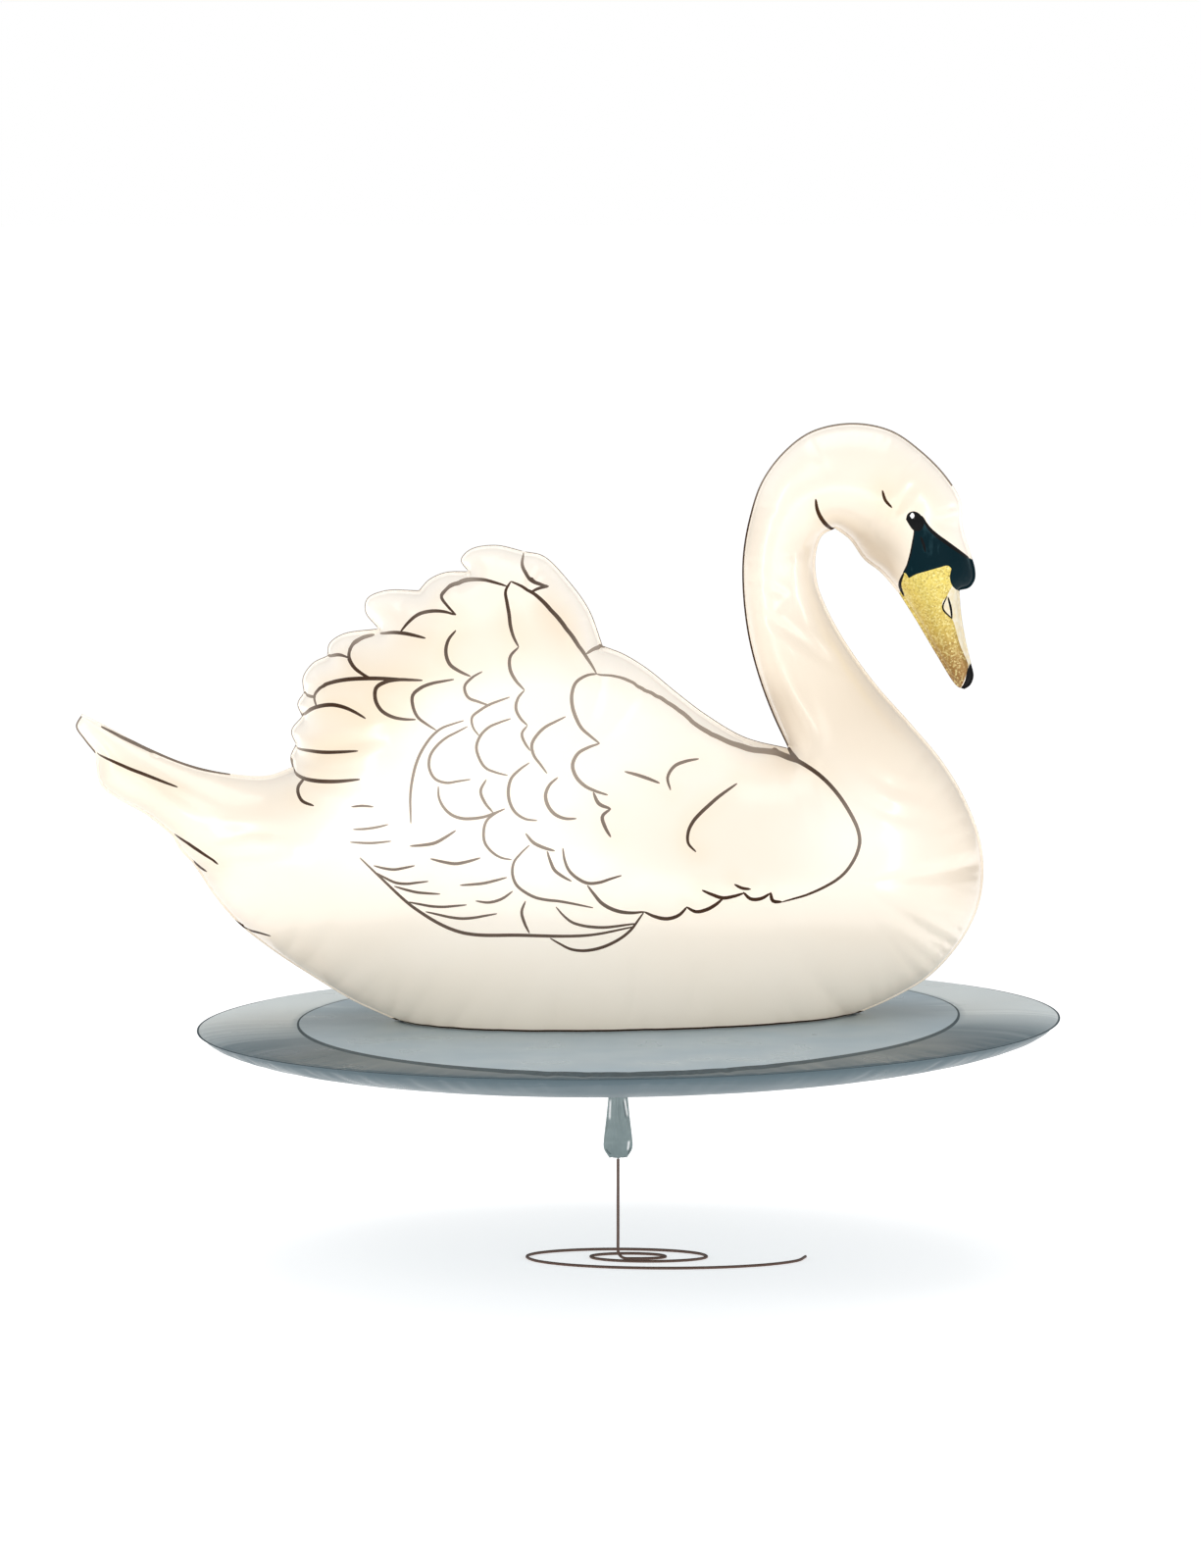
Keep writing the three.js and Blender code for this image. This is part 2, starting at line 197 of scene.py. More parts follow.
# Swan's outline, as thousandths of its length from the stem and the pond's top, as in the solids
SWAN_LOBES = {
    "tail_top": [(-574, 328), (-519, 299), (-470, 279), (-422, 269), (-385, 268), (-359, 277)],
    "wing_tip_1": [(-361, 288), (-355, 302)],
    "wing_tip_2": [(-360, 317), (-348, 333)],
    "wing_tip_3": [(-353, 347), (-346, 359)],
    "wing_tip_4": [(-347, 376), (-336, 392), (-320, 400)],
    "wing_tip_5": [(-318, 413), (-303, 424), (-264, 430)],
    "wing_tip_6": [(-278, 448), (-276, 463), (-256, 472), (-219, 472)],
    "wing_tip_7": [(-208, 484), (-190, 492), (-165, 493)],
    "wing_tip_8": [(-173, 505), (-163, 517), (-135, 522), (-103, 515)],
    "wing_tip_9": [(-82, 510), (-54, 482), (-32, 451), (-17, 411)],
    "back": [(6, 402), (32, 386), (64, 360), (97, 335), (140, 310), (187, 298)],
    "neck_back": [(169, 337), (154, 378), (143, 421), (137, 469), (137, 511), (144, 552)],
    "head": [(157, 591), (181, 624), (212, 647), (256, 656), (299, 648), (334, 624), (361, 596),
             (376, 570), (378, 543), (389, 507)],
    "knob": [(392, 496), (392, 484), (386, 475), (375, 472)],
    "bill_top": [(377, 447), (382, 418), (388, 392), (391, 377), (387, 367), (381, 363)],
    "bill_bottom": [(373, 366), (350, 401), (328, 438), (309, 468)],
    "throat": [(288, 492), (270, 506), (254, 528), (238, 540)],
    "neck_front": [(224, 532), (217, 510), (219, 480), (229, 453), (250, 415), (283, 369),
                   (323, 324), (358, 282)],
    "breast": [(383, 240), (399, 197), (403, 160), (398, 124), (380, 86), (345, 46), (302, 20), (256, 0)],
    "keel": [(199, -26), (134, -48), (64, -61), (-11, -65), (-87, -61), (-157, -44), (-214, -17), (-254, 0)],
    "belly": [(-293, 18), (-336, 44), (-380, 73), (-418, 103), (-445, 134), (-462, 160), (-470, 172)],
    "under_tail": [(-482, 184), (-491, 201)],
    "tail_edge": [(-520, 224), (-553, 243), (-570, 257), (-576, 292)],
    "tail_tip": [(-588, 307), (-597, 322), (-590, 336)],
}
SMOOTH_STARTS = ("head", "breast", "keel", "belly")

# Printed lines, at the pixels where the photograph shows them. Each is (width in mm, points).
FEATHER_LINES = {
    "crest": [
        (3.0, [(517, 598), (490, 591), (462, 596), (450, 608), (465, 627)]),
        (2.8, [(465, 627), (445, 623), (424, 628), (408, 645)]),
        (2.9, [(388, 645), (412, 646), (434, 651)]),
        (3.2, [(382, 647), (363, 653), (355, 666), (362, 682), (380, 693)]),
        (3.2, [(425, 694), (380, 692), (348, 694), (327, 701), (320, 712), (323, 722)]),
    ],
    "tips": [
        (2.6, [(309, 706), (315, 710), (322, 711)]),
        (2.6, [(334, 669), (345, 668), (355, 670)]),
        (3.2, [(306, 732), (318, 723), (338, 719), (355, 723), (373, 733)]),
        (2.9, [(302, 761), (318, 766), (340, 767), (365, 766)]),
        (3.1, [(297, 773), (302, 786), (316, 795), (340, 797), (367, 795)]),
        (2.9, [(311, 791), (304, 804), (308, 817), (320, 822)]),
    ],
    "rows": [
        (3.0, [(465, 643), (455, 658), (459, 678), (480, 690)]),
        (3.2, [(431, 694), (400, 694), (384, 701), (385, 720), (402, 732), (424, 734)]),
        (2.8, [(463, 693), (435, 699), (421, 709), (425, 730), (445, 745)]),
        (2.4, [(492, 685), (475, 697), (475, 709), (500, 720)]),
        (2.2, [(520, 711), (495, 721), (480, 735), (489, 751)]),
        (2.4, [(521, 733), (497, 743), (486, 760), (495, 783), (518, 791)]),
        (2.4, [(473, 735), (447, 745), (428, 770), (419, 805), (419, 840)]),
        (2.4, [(477, 741), (448, 758), (437, 778), (447, 797), (480, 795)]),
        (2.6, [(447, 802), (449, 818), (464, 833), (490, 834), (515, 825)]),
        (2.5, [(496, 795), (490, 810), (503, 829)]),
        (2.6, [(540, 778), (522, 793), (519, 815), (530, 833), (548, 837)]),
        (3.0, [(569, 793), (557, 806), (560, 824), (572, 834), (588, 835)]),
        (2.6, [(577, 731), (552, 745), (542, 763), (558, 789)]),
    ],
    "peak": [
        (3.3, [(521, 593), (540, 602), (562, 622), (588, 655), (609, 687)]),
        (3.0, [(521, 593), (516, 600), (519, 625), (522, 645), (529, 660)]),
        (2.8, [(529, 660), (520, 671), (522, 688), (535, 704)]),
        (2.5, [(535, 704), (526, 717), (529, 730), (538, 740)]),
        (2.3, [(538, 740), (532, 750), (541, 766)]),
    ],
    "far wing": [
        (3.2, [(534, 564), (533, 577), (543, 591), (560, 598)]),
        (2.6, [(541, 604), (549, 600), (560, 598)]),
        (2.9, [(598, 667), (605, 661), (618, 660)]),
    ],
    "shoulder": [
        (3.0, [(609, 687), (590, 693), (583, 712), (592, 741), (612, 758)]),
        (3.0, [(612, 758), (590, 768), (584, 784), (597, 802), (620, 811)]),
        (3.0, [(605, 808), (610, 819), (623, 825)]),
        (3.0, [(623, 825), (614, 834), (623, 854)]),
    ],
    "wing front": [
        (3.3, [(609, 687), (640, 693), (680, 715), (720, 745), (760, 762), (795, 768), (835, 790),
               (864, 824), (877, 858), (862, 890), (830, 910), (798, 920)]),
        (3.6, [(803, 762), (808, 769), (816, 778)]),
    ],
    "hem": [
        (3.0, [(798, 920), (787, 918), (786, 910)]),
        (3.0, [(786, 911), (775, 917), (763, 916), (758, 910)]),
        (3.0, [(759, 911), (738, 916), (716, 908)]),
        (3.1, [(738, 916), (725, 926), (710, 930), (700, 925)]),
        (3.1, [(701, 925), (690, 935), (675, 937), (657, 930)]),
        (3.1, [(657, 930), (638, 931), (616, 923), (599, 903)]),
    ],
    "quills": [
        (2.6, [(749, 902), (757, 906), (766, 907)]),
        (2.7, [(637, 787), (655, 792), (673, 799)]),
        (2.7, [(713, 774), (690, 780), (681, 793), (684, 806)]),
        (3.0, [(752, 799), (728, 817), (704, 843), (702, 860), (710, 869)]),
    ],
    "lower wing": [
        (2.7, [(574, 865), (579, 886), (600, 901), (634, 893)]),
        (2.7, [(558, 868), (566, 888), (583, 899)]),
        (2.7, [(657, 930), (640, 952), (612, 967), (585, 969), (561, 957)]),
        (2.5, [(650, 942), (610, 946), (582, 940), (567, 925)]),
        (3.0, [(648, 945), (600, 954), (532, 954), (470, 951), (425, 928), (390, 897), (367, 875)]),
        (2.5, [(605, 926), (575, 920), (545, 915), (525, 900), (524, 880), (540, 862)]),
        (2.5, [(536, 919), (532, 932), (540, 952)]),
        (2.9, [(536, 850), (546, 861), (566, 868)]),
        (2.4, [(515, 825), (497, 836), (494, 858), (507, 873), (522, 877)]),
    ],
    "dashes": [
        (2.0, [(358, 823), (370, 822), (381, 823)]),
        (2.0, [(360, 846), (378, 845), (396, 841)]),
        (2.0, [(357, 859), (378, 860), (399, 858)]),
        (2.7, [(418, 863), (443, 860), (465, 847)]),
        (2.7, [(439, 876), (465, 881), (490, 875)]),
        (2.4, [(469, 903), (493, 901), (517, 895)]),
        (2.4, [(485, 919), (505, 920), (523, 909)]),
        (2.3, [(381, 883), (400, 887), (423, 883)]),
        (2.3, [(383, 890), (406, 901), (437, 899)]),
        (2.3, [(402, 904), (424, 910), (449, 912)]),
        (2.3, [(416, 920), (446, 925), (476, 923)]),
        (2.4, [(434, 930), (471, 937), (507, 932)]),
    ],
    "tail": [
        (2.8, [(103, 741), (140, 759), (200, 783), (235, 790)]),
        (2.8, [(99, 768), (125, 781), (150, 791), (181, 803)]),
        (3.0, [(178, 850), (196, 863), (222, 882)]),
        (2.6, [(196, 876), (203, 883), (211, 889)]),
        (2.6, [(231, 933), (252, 947), (276, 955)]),
    ],
    "head": [
        (3.4, [(832, 509), (835, 524), (844, 536), (856, 543)]),
        (2.6, [(900, 500), (903, 510), (910, 518)]),
    ],
}
TAN_LINES = [
    [(240, 848), (258, 849), (274, 852)],
    [(268, 858), (300, 866), (322, 879), (342, 897), (358, 917), (381, 925), (408, 918)],
    [(266, 881), (282, 888), (300, 900), (312, 914)],
    [(276, 928), (290, 940), (302, 950)],
]
BILL_LINES = [
    (3.2, [(940, 526), (949, 540), (965, 553), (988, 569)]),
    (1.4, [(933, 541), (931, 553), (928, 568), (923, 583)]),
    (2.2, [(939, 547), (942, 555), (944, 563)]),
    (2.4, [(922, 584), (918, 592), (918, 600), (922, 608)]),
    (1.5, [(966, 608), (961, 615), (963, 623), (971, 631)]),
    (2.0, [(967, 609), (969, 618), (972, 627), (971, 631)]),
]

# Printed areas of the head, at the photograph's pixels. Each run is smooth, with sharp corners between.
EYE_RUNS = [
    [(924, 530), (926, 524), (932, 521.5), (939, 525), (943, 533), (939, 541), (932, 541), (924, 530)],
]
GLINT_RUNS = [[(928, 526), (930.5, 522.8), (933, 526), (930.5, 529.2), (928, 526)]]
MASK_RUNS = [
    [(938, 524), (945, 534), (963, 550), (986, 568), (1003, 575)],
    [(1003, 575), (1008, 592), (996, 612)],
    [(996, 612), (980, 604), (972, 598), (969, 589), (970.5, 580)],
    [(970.5, 580), (967, 577), (958, 579), (944, 583), (934, 586), (927, 590)],
    [(927, 590), (924, 585), (921, 584)],
    [(921, 584), (928, 568), (931, 553), (932, 541)],
    [(932, 541), (938, 524)],
]
GOLD_RUNS = [
    [(970.5, 580), (969, 589), (972, 598), (966, 608)],
    [(966, 608), (961, 615), (963, 623), (971, 631), (979, 657), (988, 678)],
    [(988, 678), (985, 690), (980, 702), (978, 714)],
    [(978, 714), (950, 690), (910, 614)],
    [(910, 614), (918, 604), (918, 594), (921, 584)],
    [(921, 584), (924, 585), (927, 590)],
    [(927, 590), (934, 586), (944, 583), (958, 579), (967, 577), (970.5, 580)],
]
PALE_RUNS = [
    [(972, 598), (980, 604), (998, 606)],
    [(998, 606), (1002, 640), (1000, 676)],
    [(1000, 676), (988, 678)],
    [(988, 678), (979, 657), (971, 631), (963, 623), (961, 615), (966, 608)],
    [(966, 608), (972, 598)],
]
NAIL_RUNS = [
    [(1002, 674), (991, 676), (987, 682), (984, 695), (980, 702)],
    [(980, 702), (978, 716), (1004, 714), (1002, 674)],
]
# Where the gold print is darkest and palest
BILL_TIP, BILL_ROOT = (985, 700), (945, 590)

# Soft painted patches: beige tone, painted light, painted highlight and painted shade. Each is (pixel in the
# picture, radius in mm, strength).
# Beige, partly the print's tone and partly painted shade
WARM_AND_SHADE_CLOUDS = [
    ((440, 685), 75, 0.5), ((560, 650), 55, 0.5), ((345, 765), 50, 0.4), ((400, 745), 50, 0.3),
    ((165, 795), 60, 0.12), ((290, 820), 60, 0.30), ((850, 700), 70, 0.30), ((900, 765), 60, 0.2),
    ((915, 515), 55, 0.35), ((880, 475), 35, 0.2), ((700, 860), 110, 0.08), ((960, 870), 60, 0.3),
    ((650, 650), 40, 0.2), ((620, 1040), 60, 0.15),
]
# Painted light: takes the beige out along the shaded belly and on the tops
PAINTED_LIGHT_CLOUDS = [
    ((330, 890), 65, 0.7), ((375, 850), 50, 0.6), ((880, 450), 60, 0.4), ((795, 480), 50, 0.3),
    ((555, 575), 35, 0.8), ((500, 572), 45, 0.9), ((400, 612), 45, 0.8), ((845, 860), 60, 0.4),
    ((940, 880), 40, 0.3), ((710, 690), 50, 0.5), ((380, 990), 60, 0.8), ((480, 1020), 80, 0.9),
    ((640, 1030), 90, 0.9), ((790, 1010), 80, 0.9), ((890, 970), 50, 0.6),
]
# Painted highlight: soft white glare over the wing and body
HIGHLIGHT_CLOUDS = [
    ((500, 745), 75, 0.8), ((575, 745), 70, 0.7), ((660, 745), 70, 0.6), ((740, 770), 45, 0.4),
    ((440, 800), 55, 0.7), ((530, 850), 70, 0.5), ((375, 850), 45, 0.7), ((865, 850), 45, 0.6),
    ((600, 900), 70, 0.3), ((470, 900), 70, 0.3),
]
# Painted shade: under the head, along the neck and at the lower edges of body and tail
PAINTED_SHADE_CLOUDS = [
    ((784, 716), 28, 0.42), ((872, 575), 36, 0.56), ((904, 568), 28, 0.42), ((990, 902), 24, 0.34),
    ((992, 800), 22, 0.18), ((868, 730), 50, 0.14), ((250, 955), 34, 0.36), ((296, 985), 34, 0.30),
    ((815, 650), 40, 0.16), ((800, 745), 36, 0.22), ((815, 560), 26, 0.22), ((850, 520), 36, 0.18),
    ((890, 540), 30, 0.20), ((968, 760), 24, 0.12), ((165, 815), 34, 0.12), ((215, 890), 24, 0.22),
]

camera_turn = camera.matrix_world.to_3x3()
swan_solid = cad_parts["swan"]
swan_tree = BVHTree.FromPolygons(
    [swan_solid.matrix_world @ v.co for v in swan_solid.data.vertices],
    [tuple(p.vertices) for p in swan_solid.data.polygons],
)


def from_picture(pixels):
    """Points of the swan's middle plane behind the surface spots that the picture shows at these pixels."""
    found = []
    for x, y in pixels:
        ray = Vector((x - PICTURE_WIDTH / 2, PICTURE_HEIGHT / 2 - y, -focal_pixels))
        ray = (camera_turn @ ray).normalized()
        hit = swan_tree.ray_cast(camera.location, ray)[0]
        if hit is None:
            hit = camera.location + ray * (-camera.location.y / ray.y)
        found.append((hit.x, hit.z))
    return np.array(found)


def swan_outline(step):
    """The swan's closed outline in its middle plane, in even steps, and the lobe of each point."""
    scale = SWAN_LENGTH / 1000
    corner = SWAN_LOBES["tail_tip"][-1]
    runs = []
    for name, lobe in SWAN_LOBES.items():
        if name in SMOOTH_STARTS:
            runs[-1][1].extend(lobe)
            runs[-1][0].append((name, len(lobe)))
        else:
            runs.append(([(name, len(lobe))], [corner, *lobe]))
        corner = lobe[-1]
    lines, names = [], []
    for parts, run in runs:
        given = np.array(run) * scale
        line = smooth_line(given, step)[:-1]
        owners = [name for name, count in parts for _ in range(count)]
        nearest = np.linalg.norm(line[:, None] - given[None, 1:], axis=2).argmin(axis=1)
        lines.append(line)
        names += [owners[i] for i in nearest]
    return np.vstack(lines)[::-1] + (stem_x, pond_top.z), names[::-1]


def turned_left(outline):
    """The same outline, running anticlockwise."""
    x, z = outline.T
    area = (x * np.roll(z, -1) - np.roll(x, -1) * z).sum()
    return outline if area > 0 else outline[::-1]


# Steps along a printed outline in metres, and how a printed line swells from its ends to its middle
AREA_STEP = 0.0018
STROKE_STEP = 0.0024
STROKE_PIXELS = 12
STROKE_END = 0.32
STROKE_SWELL = 0.9
STROKE_BLUNTNESS = 0.45


def area_outline(runs):
    """Closed outline of a printed area, from its smooth runs in picture pixels."""
    lines = [smooth_line(from_picture(run), AREA_STEP)[:-1] for run in runs]
    return turned_left(np.vstack(lines))


def quarter_turned(heading):
    """Unit vectors a quarter turn to the left of the given directions."""
    heading = heading / np.linalg.norm(heading, axis=1)[:, None]
    return np.column_stack([-heading[:, 1], heading[:, 0]])


def stroke_outline(width, pixels):
    """Closed outline of a printed line that swells in its middle and thins to its ends."""
    line = smooth_line(from_picture(smooth_line(pixels, STROKE_PIXELS)), STROKE_STEP)
    side = quarter_turned(np.gradient(line, axis=0))
    along = np.linspace(0, 1, len(line))
    half = width / 2000 * (STROKE_END + STROKE_SWELL * np.sin(math.pi * along) ** STROKE_BLUNTNESS)
    half = half[:, None]
    return turned_left(np.vstack([line + side * half, (line - side * half)[::-1]]))


# Materials
COAT_ROUGHNESS = 0.14
FOIL_IOR = 1.5
# Scale and height of the soft crinkle of the swan's foil and of all ink
SOFT_CRINKLE = (12.0, 0.0006)
# Strength of the foil's even glow, painted light that lifts its shaded parts
FOIL_PAINTED_GLOW = 0.25
# Sockets of a mix node for colours: its share and two colours, and its result
MIX_INPUTS = (0, 6, 7)
MIX_RESULT = 2


def new_material(name):
    """A material, its node tree and its shader."""
    material = bpy.data.materials.new(name)
    material.use_nodes = True
    return material, material.node_tree, material.node_tree.nodes["Principled BSDF"]


def set_inputs(node, values):
    for name, value in values.items():
        node.inputs[name].default_value = value


def linear(red, green, blue):
    """Linear colour from the 0 to 255 values of a picture."""
    parts = [c / 255 for c in (red, green, blue)]
    return (*[c / 12.92 if c <= 0.04045 else ((c + 0.055) / 1.055) ** 2.4 for c in parts], 1)


def add_noise(tree, scale, detail, stretch=None):
    place = tree.nodes.new("ShaderNodeTexCoord").outputs["Object"]
    noise = tree.nodes.new("ShaderNodeTexNoise")
    set_inputs(noise, {"Scale": scale, "Detail": detail})
    if stretch:
        mapping = tree.nodes.new("ShaderNodeMapping")
        mapping.inputs["Scale"].default_value = stretch
        tree.links.new(place, mapping.inputs["Vector"])
        place = mapping.outputs["Vector"]
    tree.links.new(place, noise.inputs["Vector"])
    return noise.outputs["Fac"]


def map_range(tree, source, low, high, to_low, to_high):
    node = tree.nodes.new("ShaderNodeMapRange")
    set_inputs(node, {"From Min": low, "From Max": high, "To Min": to_low, "To Max": to_high})
    tree.links.new(source, node.inputs["Value"])
    return node.outputs["Result"]


def mix_colours(tree, share, first, second):
    node = tree.nodes.new("ShaderNodeMix")
    node.data_type = "RGBA"
    for number, value in zip(MIX_INPUTS, (share, first, second)):
        if isinstance(value, tuple):
            node.inputs[number].default_value = value
        else:
            tree.links.new(value, node.inputs[number])
    return node.outputs[MIX_RESULT]


def mottled(tree, noise, low, high, most, first, second):
    """The first colour, which turns towards the second where the noise is high."""
    return mix_colours(tree, map_range(tree, noise, low, high, 0.0, most), first, second)


def painted(tree, base, paints):
    """The base colour under each paint, as much of it as the mesh's attribute of that name says."""
    for name, colour in paints.items():
        attribute = tree.nodes.new("ShaderNodeAttribute")
        attribute.attribute_name = name
        base = mix_colours(tree, attribute.outputs["Fac"], base, linear(*colour))
    return base


def add_bump(tree, shader, relief, height, strength=1.0):
    bump = tree.nodes.new("ShaderNodeBump")
    set_inputs(bump, {"Strength": strength, "Distance": height})
    tree.links.new(relief, bump.inputs["Height"])
    tree.links.new(bump.outputs["Normal"], shader.inputs["Normal"])


def add_crinkle(tree, shader, scale, height, detail=1.0):
    """Fine crinkles of thin foil, as bump."""
    noise = add_noise(tree, scale, detail)
    add_bump(tree, shader, noise, height)
    return noise


def finish_foil(shader, metallic, coat):
    set_inputs(shader, {"Metallic": metallic, "Coat Weight": coat, "Coat Roughness": COAT_ROUGHNESS,
                        "IOR": FOIL_IOR})


def pearl_foil():
    """Cream pearl foil, with beige that is partly the print's tone and partly painted shade, painted
    highlights, painted edge shade and an even painted glow.
    """
    material, tree, shader = new_material("pearl_foil")
    cloud = add_noise(tree, 9.0, 3.0)
    base = mottled(tree, cloud, 0.35, 0.7, 0.4, linear(238, 230, 217), linear(233, 223, 206))
    # Beige partly printed and partly painted shade, a white painted highlight, and brown painted shade at the
    # edges
    base = painted(tree, base, {"warm_tone_and_shade": (228, 210, 182), "painted_highlight": (254, 252, 246), "painted_edge_shade": (150, 134, 114)})
    tree.links.new(base, shader.inputs["Base Color"])
    crinkle = add_crinkle(tree, shader, *SOFT_CRINKLE)
    tree.links.new(map_range(tree, crinkle, 0.3, 0.7, 0.30, 0.34), shader.inputs["Roughness"])
    # The foil glows evenly, painted light that lifts its shaded parts
    set_inputs(shader, {"Emission Color": linear(255, 234, 208), "Emission Strength": FOIL_PAINTED_GLOW})
    finish_foil(shader, 0.05, 0.6)
    return material


def ink(name, colour, highlight_colour=None):
    """Printed ink, slightly uneven, which turns lighter where a painted highlight lies over it."""
    material, tree, shader = new_material(name)
    colour = linear(*colour)
    lighter = tuple(min(1.0, c * 1.9 + 0.004) for c in colour[:3]) + (1,)
    shade = mottled(tree, add_noise(tree, 160.0, 2.0), 0.35, 0.65, 0.4, colour, lighter)
    # Lighter colour of the ink under the painted highlight
    if highlight_colour:
        shade = painted(tree, shade, {"painted_highlight": highlight_colour})
    tree.links.new(shade, shader.inputs["Base Color"])
    add_crinkle(tree, shader, *SOFT_CRINKLE)
    set_inputs(shader, {"Roughness": 0.5, "Specular IOR Level": 0.10})
    finish_foil(shader, 0.0, 0.02)
    return material


def gold_glitter():
    """Gold grains that turn from pale yellow at the face to bronze at the tip."""
    material, tree, shader = new_material("gold_glitter")
    where = tree.nodes.new("ShaderNodeTexCoord")
    split = tree.nodes.new("ShaderNodeSeparateXYZ")
    tree.links.new(where.outputs["Object"], split.inputs["Vector"])
    tip_z, root_z = from_picture([BILL_TIP, BILL_ROOT])[:, 1]
    share = map_range(tree, split.outputs["Z"], float(tip_z), float(root_z), 0.0, 1.0)
    ramp = tree.nodes.new("ShaderNodeValToRGB")
    tree.links.new(share, ramp.inputs["Fac"])
    ramp.color_ramp.elements[0].color = linear(150, 106, 60)
    ramp.color_ramp.elements[1].color = linear(234, 212, 104)
    for place, colour in ((0.28, (172, 134, 66)), (0.55, (212, 184, 86))):
        ramp.color_ramp.elements.new(place).color = linear(*colour)
    grains = tree.nodes.new("ShaderNodeTexVoronoi")
    grains.inputs["Scale"].default_value = 620.0
    tree.links.new(where.outputs["Object"], grains.inputs["Vector"])
    grey = tree.nodes.new("ShaderNodeRGBToBW")
    tree.links.new(grains.outputs["Color"], grey.inputs["Color"])
    light_share = map_range(tree, grey.outputs["Val"], 0.55, 0.9, 0.0, 0.7)
    dark_share = map_range(tree, grey.outputs["Val"], 0.1, 0.42, 0.45, 0.0)
    colour = mix_colours(tree, light_share, ramp.outputs["Color"], linear(250, 238, 168))
    colour = mix_colours(tree, dark_share, colour, linear(140, 98, 34))
    tree.links.new(colour, shader.inputs["Base Color"])
    add_bump(tree, shader, grey.outputs["Val"], 0.0005, 0.5)
    shader.inputs["Roughness"].default_value = 0.4
    finish_foil(shader, 0.3, 0.15)
    return material


def teal_mask():
    """Dark teal print with paler crinkle marks."""
    material, tree, shader = new_material("teal_mask")
    marks = add_noise(tree, 62.0, 5.0, (1.0, 1.0, 0.45))
    colour = mottled(tree, marks, 0.58, 0.74, 0.35, linear(1, 32, 40), linear(76, 116, 126))
    tree.links.new(colour, shader.inputs["Base Color"])
    add_crinkle(tree, shader, 60.0, 0.0010, 2.0)
    set_inputs(shader, {"Roughness": 0.5, "Specular IOR Level": 0.06})
    finish_foil(shader, 0.0, 0.0)
    return material


def pond_foil():
    """Blue-grey foil with painted shade on the band round the ring, darker at the front and below, and
    painted light with painted highlight streaks at its back.
    """
    material, tree, shader = new_material("pond_foil")
    cloud = add_noise(tree, 14.0, 4.0)
    colour = mottled(tree, cloud, 0.35, 0.7, 0.6, linear(164, 184, 196), linear(178, 196, 206))
    colour = painted(tree, colour, {"pond_band_shade": (124, 146, 156), "pond_front_shade": (90, 106, 113), "pond_light_and_highlight": (236, 246, 248)})
    tree.links.new(colour, shader.inputs["Base Color"])
    crinkle = add_crinkle(tree, shader, 16.0, 0.0008)
    tree.links.new(map_range(tree, crinkle, 0.3, 0.7, 0.26, 0.38), shader.inputs["Roughness"])
    shader.inputs["Specular IOR Level"].default_value = 0.12
    finish_foil(shader, 0.05, 0.02)
    return material


def stem_foil():
    """Slate foil of the stem, with painted highlights and painted shade along its creases."""
    material, tree, shader = new_material("stem_foil")
    cloud = add_noise(tree, 90.0, 4.0)
    colour = mottled(tree, cloud, 0.35, 0.65, 0.5, linear(116, 133, 134), linear(132, 148, 149))
    colour = painted(tree, colour, {"stem_painted_highlight": (250, 252, 252), "stem_painted_shade": (46, 62, 68)})
    tree.links.new(colour, shader.inputs["Base Color"])
    add_crinkle(tree, shader, 60.0, 0.0005)
    shader.inputs["Roughness"].default_value = 0.24
    finish_foil(shader, 0.35, 0.6)
    return material


def ribbon_thread():
    """Twisted brown thread."""
    material, tree, shader = new_material("ribbon_thread")
    where = tree.nodes.new("ShaderNodeTexCoord")
    strands = tree.nodes.new("ShaderNodeTexWave")
    strands.bands_direction = "DIAGONAL"
    set_inputs(strands, {"Scale": 260.0, "Distortion": 1.5})
    tree.links.new(where.outputs["Object"], strands.inputs["Vector"])
    colour = mix_colours(tree, strands.outputs["Fac"], linear(80, 54, 45), linear(116, 90, 77))
    tree.links.new(colour, shader.inputs["Base Color"])
    add_bump(tree, shader, strands.outputs["Fac"], 0.0004, 0.5)
    shader.inputs["Roughness"].default_value = 0.55
    return material


# Swan: two foil panels, welded along a flat flange, with puckers that run in from the seam
FLANGE = 0.0026
SEAM_ROWS = (0.0009, 0.0018, FLANGE, 0.0036, 0.0052, 0.0074, 0.0100)
SEAM_STEP = 0.0026
PANEL_STEP = 0.0034
PANEL_HALF_THICKNESS = 0.00015
EDGE_SLACK = 0.00005
PANEL_SEEDS = (5, 8)

# Material slots of the swan
PEARL, BROWN, TEAL, GOLD, PALE, BLACK, WHITE = range(7)

# Ink along the seam, with painted shade and painted highlight beside it, by the lobe's name or the start of
# it
SEAM_INK = {"tail_tip": 0.0018, "wing_tip": 0.0013, "back": 0.0010, "neck_back": 0.0018, "head": 0.0018}
SEAM_INK_STOP = (973, 489)
SEAM_SHADE = {"breast": 0.5, "keel": 0.1, "belly": 0.9, "under_tail": 0.9, "tail_edge": 0.9, "throat": 0.9,
              "neck_front": 0.3, "neck_back": 0.3}
SEAM_HIGHLIGHT = {"wing_tip": 0.9, "back": 0.9, "tail_top": 0.5, "head": 0.6, "tail_tip": 0.6}


def by_lobe(names, table):
    """The table's value for the lobe of each rim point, or 0 where the table leaves that lobe out."""
    return np.array([next((table[key] for key in table if name.startswith(key)), 0.0) for name in names])


def smooth_round(values, reach):
    """The same values along a closed line, each blended with its neighbours on both sides."""
    kernel = np.hanning(2 * reach + 3)[1:-1]
    padded = np.concatenate([values[-reach:], values, values[:reach]])
    return np.convolve(padded, kernel / kernel.sum(), "valid")


def flat_tree(points):
    """Search tree over points of the middle plane."""
    tree = KDTree(len(points))
    for index, (x, z) in enumerate(points):
        tree.insert((x, z, 0), index)
    tree.balance()
    return tree


